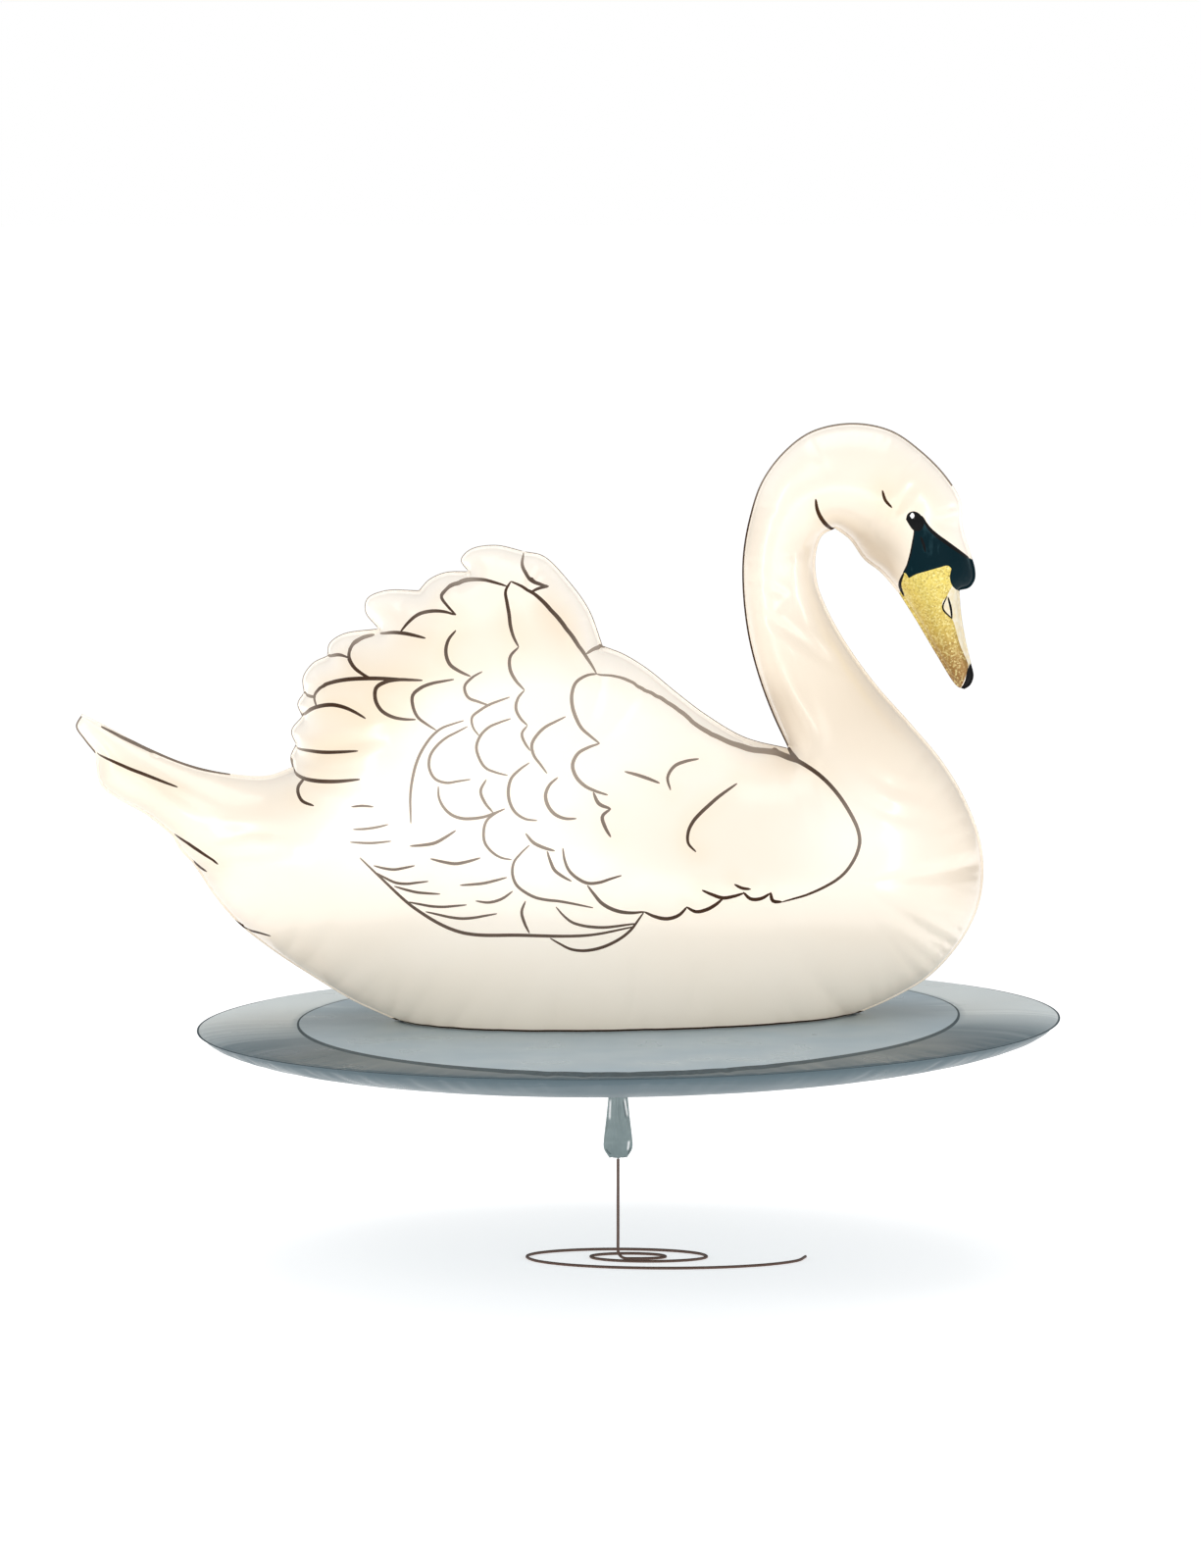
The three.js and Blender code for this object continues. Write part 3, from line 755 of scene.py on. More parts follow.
def nearest_in(tree, points):
    """Distance to the tree's nearest point, and the index of that point, for each point."""
    found = [tree.find((x, z, 0)) for x, z in points]
    return np.array([f[2] for f in found]), np.array([f[1] for f in found])


def shorter_way(gap, whole):
    """The same gap round a closed loop, measured the shorter way."""
    return (gap + whole / 2) % whole - whole / 2


def inside(points, outline):
    """Whether each point lies inside the closed outline."""
    x, y = points[:, 0], points[:, 1]
    result = np.zeros(len(points), bool)
    ends = np.roll(outline, -1, axis=0)
    for (ax, ay), (bx, by) in zip(outline, ends):
        crosses = (ay > y) != (by > y)
        if ay != by:
            result ^= crosses & (x < ax + (y - ay) / (by - ay) * (bx - ax))
    return result


# How far a lattice point may be off its place, as a share of the lattice's step
LATTICE_SCATTER = 0.12


def lattice(outline, step):
    """Triangular lattice inside the outline, each point a little off its place."""
    low, high = outline.min(axis=0), outline.max(axis=0)
    rows = np.arange(low[1], high[1], step * math.sqrt(3) / 2)
    points = []
    for number, y in enumerate(rows):
        xs = np.arange(low[0] + (number % 2) * step / 2, high[0], step)
        points.append(np.column_stack([xs, np.full(len(xs), y)]))
    points = np.vstack(points)
    points += rng.uniform(-LATTICE_SCATTER, LATTICE_SCATTER, points.shape) * step
    return points[inside(points, outline)]


# Rounds and tolerances in working out the film's height
FILM_ROUNDS = 900
FILM_TOLERANCE = 1e-22
SMALLEST_DOUBLE = 1e-12
SMALLEST_DIAGONAL = 1e-9


def double_area(points, triangles):
    """Twice the area of each triangle, positive where it runs anticlockwise."""
    a, b, c = (points[triangles[:, k]] for k in range(3))
    return (b[:, 0] - a[:, 0]) * (c[:, 1] - a[:, 1]) - (b[:, 1] - a[:, 1]) * (c[:, 0] - a[:, 0])


def film_weights(points, triangles):
    """Both ends and the stiffness of each side of each triangle, and the area that each point carries."""
    double = np.maximum(np.abs(double_area(points, triangles)), SMALLEST_DOUBLE)
    load = np.zeros(len(points))
    first, second, weights = [], [], []
    for k in range(3):
        far, near, after = triangles[:, k], triangles[:, (k + 1) % 3], triangles[:, (k + 2) % 3]
        dot = ((points[near] - points[far]) * (points[after] - points[far])).sum(axis=1)
        first.append(near)
        second.append(after)
        weights.append(dot / (2 * double))
        load += np.bincount(far, double / 6, len(points))
    return *map(np.concatenate, (first, second, weights)), load


def film(points, triangles, free):
    """Height of a soap film over the panel under even pressure, held at zero where a point isn't free."""
    count = len(points)
    first, second, weights, load = film_weights(points, triangles)
    diagonal = np.bincount(first, weights, count) + np.bincount(second, weights, count)

    def apply(u):
        spread = np.bincount(first, weights * u[second], count)
        spread += np.bincount(second, weights * u[first], count)
        return np.where(free, diagonal * u - spread, 0)

    scale = np.where(free, 1 / np.maximum(diagonal, SMALLEST_DIAGONAL), 0)
    u = np.zeros(count)
    rest = np.where(free, load, 0)
    heading = scale * rest
    energy = rest @ heading
    for _ in range(FILM_ROUNDS):
        pushed = apply(heading)
        step = energy / (heading @ pushed)
        u += step * heading
        rest -= step * pushed
        ready = scale * rest
        fresh = rest @ ready
        if fresh < FILM_TOLERANCE:
            break
        heading = ready + fresh / energy * heading
        energy = fresh
    return np.maximum(u, 0)


# Distances at which the panel's depth is tried, the depth where even the first is too far, and its smoothing
DEPTH_TRIES = (0.006, 0.010, 0.016, 0.025, 0.04, 0.06, 0.09, 0.13, 0.18)
LEAST_DEPTH = 0.003
DEPTH_BLEND = 6


def local_depth(outline, rim_tree):
    """How far in from each rim point its own seam stays the nearest one, and the way in."""
    inward = quarter_turned(np.roll(outline, -1, axis=0) - np.roll(outline, 1, axis=0))
    depth = np.full(len(outline), LEAST_DEPTH)
    for reach in DEPTH_TRIES:
        distance = nearest_in(rim_tree, outline + inward * reach)[0]
        depth = np.where((distance > 0.85 * reach) & (depth > 0.45 * reach - 0.004), reach, depth)
    return smooth_round(depth, DEPTH_BLEND), inward


# Rim points over which the outline's turn is taken and smoothed
BEND_REACH = 6
BEND_BLEND = 11


def seam_bend(outline):
    """Turn of the outline for each metre along it, smoothed: positive where it bulges."""
    heading = np.roll(outline, -BEND_REACH, axis=0) - outline
    angle = np.unwrap(np.arctan2(heading[:, 1], heading[:, 0]))
    turn = shorter_way(np.roll(angle, -BEND_REACH) - angle, TURN)
    return smooth_round(turn, BEND_BLEND) / (BEND_REACH * SEAM_STEP)


# Puckers: depth for each metre of length, how fast one widens and fades inward, and lengths in metres
SWAN_PUCKER_DEPTH = 0.046
POND_PUCKER_DEPTH = 0.036
PUCKER_SPREAD = 0.10
PUCKER_FADE = 1.6
SHORTEST_PUCKER, LONGEST_PUCKER = 0.008, 0.125
PUCKER_REACH = 0.05


def pucker(inset, gap, length, width, strength):
    """Dent of one pucker at a distance in from the seam and sideways from the pucker's middle line."""
    fade = np.exp(-((inset / length) ** 2) * PUCKER_FADE)
    spread = width + PUCKER_SPREAD * np.maximum(inset, 0)
    return strength * fade * np.exp(-np.abs(gap / spread) ** 1.5)


def puckers(along, inset, total, depth_at, bend_at, seed):
    """Inward dent of the foil at a distance along and in from the seam."""
    dice = np.random.default_rng(seed)
    dent = np.zeros(len(along))
    place = 0.0
    while place < total:
        room = float(depth_at(place))
        bulge = float(bend_at(place))
        length = room * dice.uniform(0.25, 0.95) * (0.6 + 0.5 * dice.random() ** 2)
        length = min(max(length, SHORTEST_PUCKER), LONGEST_PUCKER)
        fullness = np.clip(0.45 + bulge * 0.06, 0.12, 1.25)
        strength = SWAN_PUCKER_DEPTH * length * fullness * dice.uniform(0.5, 1.3)
        slant = dice.normal(0, 0.16)
        gap = shorter_way(along - place, total)
        near = (inset < 1.6 * length) & (np.abs(gap) < PUCKER_REACH)
        slanted = gap[near] + slant * inset[near]
        dent[near] += pucker(inset[near], slanted, length, 0.0018 + 0.035 * length, strength)
        place += dice.uniform(0.55, 1.5) * (0.007 + 0.16 * length)
    return dent * np.clip((inset - FLANGE) / 0.004, 0, 1)


# Long soft folds in the swan's foil. Each is (depth in mm, half width in mm, pixels in the picture).
FOLD_STEP = 0.002
SWAN_FOLDS = [
    (1.7, 4.5, [(936, 490), (914, 520), (896, 549)]),
    (1.4, 5.0, [(905, 512), (890, 530), (876, 560)]),
    (2.0, 5.0, [(781, 628), (806, 645), (852, 680)]),
    (1.6, 4.0, [(786, 600), (800, 610), (792, 625)]),
    (1.4, 5.5, [(842, 545), (822, 560), (800, 566)]),
    (1.5, 7.0, [(812, 772), (828, 800), (850, 850)]),
    (1.5, 7.0, [(806, 768), (812, 810), (826, 860)]),
    (1.2, 6.0, [(880, 780), (905, 800), (945, 812)]),
    (1.2, 6.0, [(870, 808), (905, 828), (950, 838)]),
    (1.4, 6.0, [(615, 665), (612, 700), (600, 740)]),
    (1.4, 6.0, [(300, 790), (330, 800), (372, 806)]),
    (1.6, 7.0, [(300, 778), (350, 760), (400, 752)]),
    (1.2, 6.0, [(205, 880), (240, 872), (290, 870)]),
    (1.4, 7.0, [(210, 860), (255, 850), (310, 855)]),
    (1.0, 6.0, [(640, 1050), (646, 1020), (650, 985)]),
    (1.0, 6.0, [(700, 1050), (708, 1015), (712, 985)]),
]


def fold_dents(points):
    """Inward dent of the long folds at each point."""
    dent = np.zeros(len(points))
    for depth, half, pixels in SWAN_FOLDS:
        line = smooth_line(from_picture(pixels), FOLD_STEP)
        gap = np.linalg.norm(points[:, None, :] - line[None, :, :], axis=2)
        nearest = gap.argmin(axis=1)
        share = nearest / (len(line) - 1)
        taper = np.sin(math.pi * np.clip(share, 0.02, 0.98)) ** 0.5
        across = gap.min(axis=1) / (half / 1000)
        dent += depth / 1000 * taper * (np.exp(-across**1.4) - 0.35 * np.exp(-(((across - 2) / 0.9) ** 2)))
    return dent


def print_areas():
    """Closed printed outlines and the material slot of each, the later ones on top."""
    head_prints = ((GOLD_RUNS, GOLD), (PALE_RUNS, PALE), (MASK_RUNS, TEAL), (NAIL_RUNS, BLACK))
    areas = [(area_outline(runs), slot) for runs, slot in head_prints]
    for lines in FEATHER_LINES.values():
        areas += [(stroke_outline(*line), BROWN) for line in lines]
    areas += [(stroke_outline(*line), BLACK) for line in BILL_LINES]
    areas += [(area_outline(EYE_RUNS), BLACK), (area_outline(GLINT_RUNS), WHITE)]
    return areas


# Points that the rim's search tree has for each rim point
RIM_SHARES = 4
# Room left clear round printed outlines, what two equal distances may differ by, and what welds two points
PRINT_ROOM = 0.0012
ROW_SLACK = 0.0002
WELD_GAP = 1e-6


def loose_points(rim, inward, rim_tree, areas):
    """Points of the panel that lie on no outline: rows along the seam, and a lattice in the middle."""
    loose = []
    for inset in SEAM_ROWS:
        row = rim + inward * inset
        distance = nearest_in(rim_tree, row)[0]
        loose.append(row[(distance > inset - ROW_SLACK) & inside(row, rim)])
    middle = lattice(rim, PANEL_STEP)
    distance = nearest_in(rim_tree, middle)[0]
    loose.append(middle[distance > SEAM_ROWS[-1] + 0.45 * PANEL_STEP])
    loose = np.vstack(loose)
    printed = np.vstack([area for area, _ in areas])
    print_tree = flat_tree(printed[inside(printed, rim)])
    return loose[nearest_in(print_tree, loose)[0] > PRINT_ROOM]


def panel_mesh():
    """One flat panel: its rim, points, triangles, material slots, and place by the seam."""
    rim, names = swan_outline(SEAM_STEP)
    after = np.roll(rim, -1, axis=0)
    rim_tree = flat_tree(np.vstack([rim + (after - rim) * k / RIM_SHARES for k in range(RIM_SHARES)]))
    depth, inward = local_depth(rim, rim_tree)
    areas = print_areas()
    points = [tuple(p) for p in rim]
    faces = [list(range(len(rim)))]
    for area, _ in areas:
        faces.append(list(range(len(points), len(points) + len(area))))
        points += [tuple(p) for p in area]
    points += [tuple(p) for p in loose_points(rim, inward, rim_tree, areas)]
    found = delaunay_2d_cdt([Vector(p) for p in points], [], faces, 0, WELD_GAP, True)
    spots = np.array([tuple(p) for p in found[0]])
    triangles, slots = [], []
    for corners, owners in zip(found[2], found[5]):
        if 0 not in owners or len(corners) != 3:
            continue
        triangles.append(corners)
        slots.append(areas[max(owners) - 1][1] if max(owners) > 0 else PEARL)
    distance, nearest = nearest_in(rim_tree, spots)
    return rim, names, depth, spots, np.array(triangles), np.array(slots), distance, nearest % len(rim)


# Paint beside the printed lines and the seam: beige partly print tone and partly painted shade, and painted
# highlight and painted shade by the seam. Half widths in metres, and strengths
SOFT_LINE_STEP = 0.003
FEATHER_SHADE_WARMTH, FEATHER_HALF_WIDTH = 0.35, 0.015
TAN_WARMTH, TAN_HALF_WIDTH = 0.22, 0.0045
SEAM_HIGHLIGHT_WIDTH = 0.016
SEAM_SHADE_WIDTH = 0.011
SEAM_SHADE_STRENGTH = 0.5
SEAM_BLEND = 14


def soft_spots(spots, clouds):
    """Summed strength of soft round patches at each point."""
    total = np.zeros(len(spots))
    for pixel, radius, strength in clouds:
        centre = from_picture([pixel])[0]
        total += strength * np.exp(-(np.linalg.norm(spots - centre, axis=1) / (radius / 1000)) ** 2)
    return total


def soft_lines(spots, lines, half_width):
    """How near each point is to the lines, from 1 on a line to 0 well away from it."""
    places = np.vstack([smooth_line(from_picture(pixels), SOFT_LINE_STEP) for pixels in lines])
    gap = nearest_in(flat_tree(places), spots)[0]
    return np.exp(-((gap / half_width) ** 2))


def tone_shade_and_highlight(names, spots, inset, nearest):
    """Beige tone, partly print and partly painted shade, painted highlight and painted edge shade at each
    point.
    """
    seam_shade, seam_highlight = (smooth_round(by_lobe(names, table), SEAM_BLEND)[nearest]
                             for table in (SEAM_SHADE, SEAM_HIGHLIGHT))
    feather_lines = [pixels for lines in FEATHER_LINES.values() for _, pixels in lines]
    # Beige beside the feather lines is painted shade; the tan lines are print
    warm_tone_and_shade = FEATHER_SHADE_WARMTH * soft_lines(spots, feather_lines, FEATHER_HALF_WIDTH)
    warm_tone_and_shade += soft_spots(spots, WARM_AND_SHADE_CLOUDS) - soft_spots(spots, PAINTED_LIGHT_CLOUDS)
    warm_tone_and_shade += TAN_WARMTH * soft_lines(spots, TAN_LINES, TAN_HALF_WIDTH)
    # Painted highlight in patches and along the tops of the seam
    painted_highlight = soft_spots(spots, HIGHLIGHT_CLOUDS) + seam_highlight * np.exp(-(inset / SEAM_HIGHLIGHT_WIDTH) ** 2)
    # Painted shade beside the seam and in patches
    beside_seam = np.exp(-((inset - FLANGE) / SEAM_SHADE_WIDTH) ** 2) * (inset > FLANGE)
    painted_edge_shade = SEAM_SHADE_STRENGTH * seam_shade * beside_seam + soft_spots(spots, PAINTED_SHADE_CLOUDS)
    return np.column_stack([np.clip(warm_tone_and_shade, 0, 1), np.clip(painted_highlight, 0, 0.85), np.clip(painted_edge_shade, 0, 0.8)])


def add_float(mesh, name, values):
    attribute = mesh.attributes.new(name, "FLOAT", "POINT")
    attribute.data.foreach_set("value", np.asarray(values, np.float32))


def outward_normals(places, triangles, side):
    """Unit normals of one curved panel, on the side away from the middle plane."""
    a, b, c = (places[triangles[:, k]] for k in range(3))
    cross = np.cross(b - a, c - a)
    normal = np.zeros_like(places)
    for k in range(3):
        for axis in range(3):
            normal[:, axis] += np.bincount(triangles[:, k], cross[:, axis], len(places))
    normal /= np.maximum(np.linalg.norm(normal, axis=1), 1e-15)[:, None]
    return normal * np.sign(normal[:, 1:2]) * side


def seam_ink(names, rim):
    """Width of the ink along the seam at each rim point."""
    stop = from_picture([SEAM_INK_STOP])[0, 0]
    past_stop = (by_lobe(names, {"head": 1}) > 0) & (rim[:, 0] > stop)
    return np.where(past_stop, 0, by_lobe(names, SEAM_INK))


def back_panel(triangles, count):
    """Which points lie on the rim, and each point's number in the back panel, which shares the rim."""
    pairs = np.sort(np.vstack([triangles[:, [0, 1]], triangles[:, [1, 2]], triangles[:, [2, 0]]]), axis=1)
    unique, uses = np.unique(pairs, axis=0, return_counts=True)
    on_rim = np.zeros(count, bool)
    on_rim[unique[uses == 1].ravel()] = True
    back = np.arange(count)
    back[~on_rim] = count + np.arange((~on_rim).sum())
    return on_rim, back


def curved_panel(flat, triangles, side, dent, least):
    """One panel's points, pushed in by the dents but never nearer the middle plane than the least given."""
    moved = flat - outward_normals(flat, triangles, side) * dent[:, None]
    moved[:, 1] = side * np.maximum(side * moved[:, 1], least)
    return moved


def swan_materials():
    """Materials of the swan, in the order of its slots."""
    return [
        pearl_foil(),
        ink("brown_ink", (58, 35, 17), highlight_colour=(182, 168, 154)),
        teal_mask(),
        gold_glitter(),
        ink("pale_ink", (240, 226, 190)),
        ink("black_ink", (8, 8, 10)),
        ink("white_ink", (252, 252, 252)),
    ]


def make_swan():
    rim, names, depth, spots, triangles, slots, inset, nearest = panel_mesh()
    steps = np.linalg.norm(np.roll(rim, -1, axis=0) - rim, axis=1)
    starts = np.concatenate([[0], np.cumsum(steps)[:-1]])
    total = float(steps.sum())
    bend = seam_bend(rim)
    height = SWAN_FULLNESS * np.sqrt(2 * film(spots, triangles, inset > FLANGE + EDGE_SLACK))
    folds = fold_dents(spots)
    panel_paint = tone_shade_and_highlight(names, spots, inset, nearest)
    ink_width = seam_ink(names, rim)[nearest]

    def depth_at(place):
        return np.interp(place, starts, depth)

    def bend_at(place):
        return np.interp(place, starts, bend)

    on_rim, back = back_panel(triangles, len(spots))
    half = np.where(on_rim, 0, np.maximum(height, PANEL_HALF_THICKNESS))
    least = np.where(on_rim, 0, PANEL_HALF_THICKNESS)
    places = np.zeros((back.max() + 1, 3))
    paint = np.zeros((len(places), 3))
    for side, index, seed in zip((-1, 1), (np.arange(len(spots)), back), PANEL_SEEDS):
        flat = np.column_stack([spots[:, 0], side * half, spots[:, 1]])
        dent = folds + puckers(starts[nearest], inset, total, depth_at, bend_at, seed)
        dent = dent * np.clip((inset - FLANGE) / 0.006, 0, 1)
        places[index] = curved_panel(flat, triangles, side, dent, least)
        paint[index] = panel_paint

    leftward = (double_area(spots, triangles) > 0)[:, None]
    front_faces = np.where(leftward, triangles, triangles[:, ::-1])
    back_faces = back[front_faces][:, ::-1]
    corner_ink = ink_width[triangles]
    inked = (inset[triangles] < corner_ink + ROW_SLACK).all(axis=1) & (corner_ink > 0).all(axis=1)
    slots = np.where(inked & (slots == PEARL), BROWN, slots)
    mesh = bpy.data.meshes.new("swan_foil")
    mesh.from_pydata(places.tolist(), [], np.vstack([front_faces, back_faces]).tolist())
    mesh.polygons.foreach_set("material_index", np.concatenate([slots, slots]).astype(np.int32))
    # Beige tone and painted shade, painted highlight and painted edge shade of each point
    for name, values in zip(("warm_tone_and_shade", "painted_highlight", "painted_edge_shade"), paint.T):
        add_float(mesh, name, values)
    cut_base(mesh)
    mesh.shade_smooth()
    for material in swan_materials():
        mesh.materials.append(material)
    swan = add_object("swan_foil", mesh)
    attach(swan, "root")
    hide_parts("swan")


# Height of the ink line round the swan's flat base
BASE_INK = 0.0021


def cut_base(mesh):
    """Cuts the swan flat where it rests on the pond, and inks the line just above."""
    work = bmesh.new()
    work.from_mesh(mesh)
    base = pond_top + pond_up * TOUCH_GAP
    for height, clear in ((0.0, True), (BASE_INK, False)):
        everything = work.verts[:] + work.edges[:] + work.faces[:]
        bmesh.ops.bisect_plane(work, geom=everything, dist=1e-7, plane_co=base + pond_up * height,
                               plane_no=pond_up, clear_inner=clear)
    for face in work.faces:
        top = max((v.co - base).dot(pond_up) for v in face.verts)
        if top < BASE_INK + EDGE_SLACK and face.material_index == PEARL:
            face.material_index = BROWN
    rim = [e for e in work.edges if e.is_boundary and abs((e.verts[0].co - base).dot(pond_up)) < 1e-5]
    bmesh.ops.triangle_fill(work, use_beauty=True, use_dissolve=False, edges=rim, normal=-pond_up)
    work.to_mesh(mesh)
    work.free()


# Pond: a foil disc with puckers round its seam and one printed oval ring, wider to its front and back
RING_HALF_LENGTH = 0.3375
RING_BACK_DEPTH = 0.365
RING_FRONT_DEPTH = 0.424
RING_WIDTH = 0.002
RING_SWELL = 0.016
POND_FLANGE = 0.004
POND_SPOKES = 660
POND_BAND_ROWS = 20
POND_MIDDLE_ROWS = 22
POND_TOP_SEED, POND_UNDER_SEED, STREAK_SEED = 21, 34, 17
TOP_PUCKER, UNDER_PUCKER, SHORTEST_POND_PUCKER = 0.042, 0.05, 0.014
POND_HALF_FILM = 0.0002
# Painted highlight streaks over the pond's band: their count, and where they start
HIGHLIGHT_STREAKS = 44
STREAK_START = 0.30


def pond_profile(radius):
    """Heights of the smooth top and underside at these distances from the middle, inside the flange."""
    inner = pond_radius - POND_FLANGE
    share = np.clip(radius / inner, 0, 1)
    under = -POND_DEPTH * np.sqrt(1 - share**2)
    shoulder = np.clip((radius - (inner - POND_SHOULDER)) / POND_SHOULDER, 0, 1)
    top = POND_CROWN * np.sqrt(1 - shoulder**2)
    return top, under


def pond_dents(radius, angle, seed, longest):
    """Inward dents of the puckers that run in from the pond's seam, up to the longest given."""
    dice = np.random.default_rng(seed)
    inset = pond_radius - POND_FLANGE - radius
    dent = np.zeros_like(radius)
    place = 0.0
    while place < TURN:
        length = SHORTEST_POND_PUCKER + (longest - SHORTEST_POND_PUCKER) * dice.random() ** 1.8
        strength = POND_PUCKER_DEPTH * length * dice.uniform(0.5, 1.3)
        slant = dice.normal(0, 0.12)
        gap = shorter_way(angle - place, TURN) * radius + slant * inset
        dent += pucker(inset, gap, length, 0.0024 + 0.05 * length, strength)
        place += dice.uniform(0.5, 1.5) * (0.010 + 0.16 * length) / pond_radius
    return dent * np.clip(inset / 0.005, 0, 1)


def pond_grid():
    """Distance from the middle and angle of each point, row by row inward, and the ring's row."""
    inner = pond_radius - POND_FLANGE
    turns = np.linspace(0, TURN, POND_SPOKES + 1)[:-1]
    depth = np.where(np.sin(turns) < 0, RING_FRONT_DEPTH, RING_BACK_DEPTH)
    oval = 1 / np.hypot(np.cos(turns) / RING_HALF_LENGTH, np.sin(turns) / depth)
    half = (RING_WIDTH + RING_SWELL * np.clip(-np.sin(turns), 0, 1) ** 1.5) / 2
    rows = [np.full(POND_SPOKES, radius) for radius in (pond_radius, inner + POND_FLANGE / 2, inner)]
    for share in (np.arange(1, POND_BAND_ROWS + 1) / POND_BAND_ROWS) ** 1.4:
        rows.append(inner + (oval + half - inner) * share)
    ring_row = len(rows) - 1
    for share in np.linspace(1, 0.03, POND_MIDDLE_ROWS):
        rows.append((oval - half) * share)
    return np.array(rows), np.tile(turns, (len(rows), 1)), ring_row


def faces_between(near, far, spokes):
    """Faces between two rings of points, which start at the numbers near and far."""
    pairs = [(spoke, (spoke + 1) % spokes) for spoke in range(spokes)]
    return [[near + a, near + b, far + b, far + a] for a, b in pairs]


def pond_faces(rows, ring_row):
    """Faces of both sheets and the seam between them, and the material slot of each."""
    faces, slots = [], []
    count = rows * POND_SPOKES
    for sheet in (0, 1):
        starts = [sheet * count + row * POND_SPOKES for row in range(rows)]
        for row, (near, far) in enumerate(zip(starts, starts[1:])):
            inked = sheet == 0 and row in (0, ring_row)
            faces += faces_between(*((far, near) if sheet else (near, far)), POND_SPOKES)
            slots += [int(inked)] * POND_SPOKES
        for spoke in range(POND_SPOKES):
            after = (spoke + 1) % POND_SPOKES
            corners = [starts[-1] + spoke, starts[-1] + after, 2 * count + sheet]
            faces.append(corners[::-1] if sheet else corners)
            slots.append(0)
    faces += faces_between(count, 0, POND_SPOKES)
    slots += [1] * POND_SPOKES
    return faces, slots


def pond_paint(radius, angle, ring_row):
    """Painted shade of the band round the ring on the top sheet, darker painted shade at its front, and
    painted light with painted highlight streaks at its back.
    """
    dice = np.random.default_rng(STREAK_SEED)
    # Painted shade on the band, darker to the front, and painted light to the back
    pond_band_shade = np.clip((radius - radius[ring_row + 1]) / 0.006, 0, 1)
    front = -np.sin(angle)
    pond_front_shade = pond_band_shade * np.clip(1.7 * front - 0.05, 0, 1)
    highlight_streaks = np.zeros_like(angle)
    for _ in range(HIGHLIGHT_STREAKS):
        centre = dice.choice((0, math.pi)) + dice.normal(0, 0.5)
        width = dice.uniform(0.004, 0.016)
        gap = shorter_way(angle - centre, TURN)
        highlight_streaks += dice.uniform(0.2, 0.6) * np.exp(-((gap / width) ** 2))
    reach = np.clip((radius - STREAK_START) / 0.06, 0, 1) * np.clip(0.6 - front, 0, 1)
    pond_light_and_highlight = pond_band_shade * np.clip(0.8 - 2.2 * front, 0, 1) + highlight_streaks * reach
    return pond_band_shade, np.clip(pond_front_shade, 0, 1), np.clip(pond_light_and_highlight, 0, 0.95)


def pond_heights(radius, angle):
    """Heights of the top sheet and the underside, with their flanges and puckers."""
    top, under = pond_profile(radius)
    flange = radius > pond_radius - POND_FLANGE - 1e-9
    top = np.where(flange, POND_HALF_FILM, np.maximum(top, POND_HALF_FILM))
    under = np.where(flange, -POND_HALF_FILM, np.minimum(under, -POND_HALF_FILM))
    top_dents = np.minimum(pond_dents(radius, angle, POND_TOP_SEED, TOP_PUCKER), 0.75 * top)
    under_dents = np.minimum(pond_dents(radius, angle, POND_UNDER_SEED, UNDER_PUCKER), -0.7 * under)
    return np.maximum(top - top_dents, POND_HALF_FILM), under + under_dents


def make_pond():
    radius, angle, ring_row = pond_grid()
    flat = np.stack([radius * np.cos(angle), radius * np.sin(angle)], axis=-1).reshape(-1, 2)
    sheets = [np.column_stack([flat, height.ravel()]) for height in pond_heights(radius, angle)]
    places = np.vstack([*sheets, [[0, 0, POND_CROWN], [0, 0, -POND_DEPTH]]])
    along = np.array((math.cos(POND_TILT), 0, math.sin(POND_TILT)))
    turned = (places[:, :1] * along + places[:, 1:2] * np.array((0, 1, 0))
              + places[:, 2:] * np.array(pond_up) + np.array(pond_centre))
    faces, slots = pond_faces(len(radius), ring_row)
    mesh = bpy.data.meshes.new("pond_foil")
    mesh.from_pydata(turned.tolist(), [], faces)
    mesh.polygons.foreach_set("material_index", np.array(slots, np.int32))
    # The underside has the band's painted shade, at its darkest, all over
    pond_band_shade, pond_front_shade, pond_light_and_highlight = pond_paint(radius, angle, ring_row)
    for name, values, below in (("pond_band_shade", pond_band_shade, 1), ("pond_front_shade", pond_front_shade, 1), ("pond_light_and_highlight", pond_light_and_highlight, 0)):
        add_float(mesh, name, np.concatenate([values.ravel(), np.full(values.size, below), [0, below]]))
    mesh.shade_smooth()
    mesh.materials.append(pond_foil())
    mesh.materials.append(ink("ring_ink", (52, 70, 78)))
    pond = add_object("pond_foil", mesh)
    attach(pond, "root")
    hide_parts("pond")


# Stem: a flat foil tube with sealed side edges, wrinkled along its neck and crumpled at its lower lip
STEM_HALF_WIDTHS = {0.0: 0.0080, 0.004: 0.0115, 0.008: 0.0140, 0.013: 0.01525, 0.019: 0.01475, 0.0265: 0.0140,
                    0.041: 0.0122, 0.0628: 0.0100}
STEM_SEAL = 0.0016
# Painted highlights and painted shade along the stem's creases: sideways place at the low and the high end,
# both heights and the width
STEM_HIGHLIGHTS = [(-0.0088, -0.0080, 0.040, 0.062, 0.0009), (0.0098, 0.0066, 0.043, 0.063, 0.0008),
               (0.0100, 0.0112, 0.008, 0.019, 0.0009)]
STEM_SHADES = [(0.0080, 0.0050, 0.041, 0.062, 0.0007), (-0.0070, -0.0128, 0.003, 0.010, 0.0007),
                (0.0104, 0.0128, 0.003, 0.012, 0.0006)]
STEM_ROWS = 90
STEM_SPOKES = 96
STEM_ROUNDINGS = 6
STEM_HALF_FILM = 0.0003
STEM_LIP = 0.016
STEM_NECK_START = 0.018
STEM_NECK_BLEND = 0.02
# Pleats along the neck, crumples across the pad and crumples of the lip, in radians for each metre
NECK_PLEATS = 1450
PAD_CRUMPLES = 2500
LIP_CRUMPLES = 520


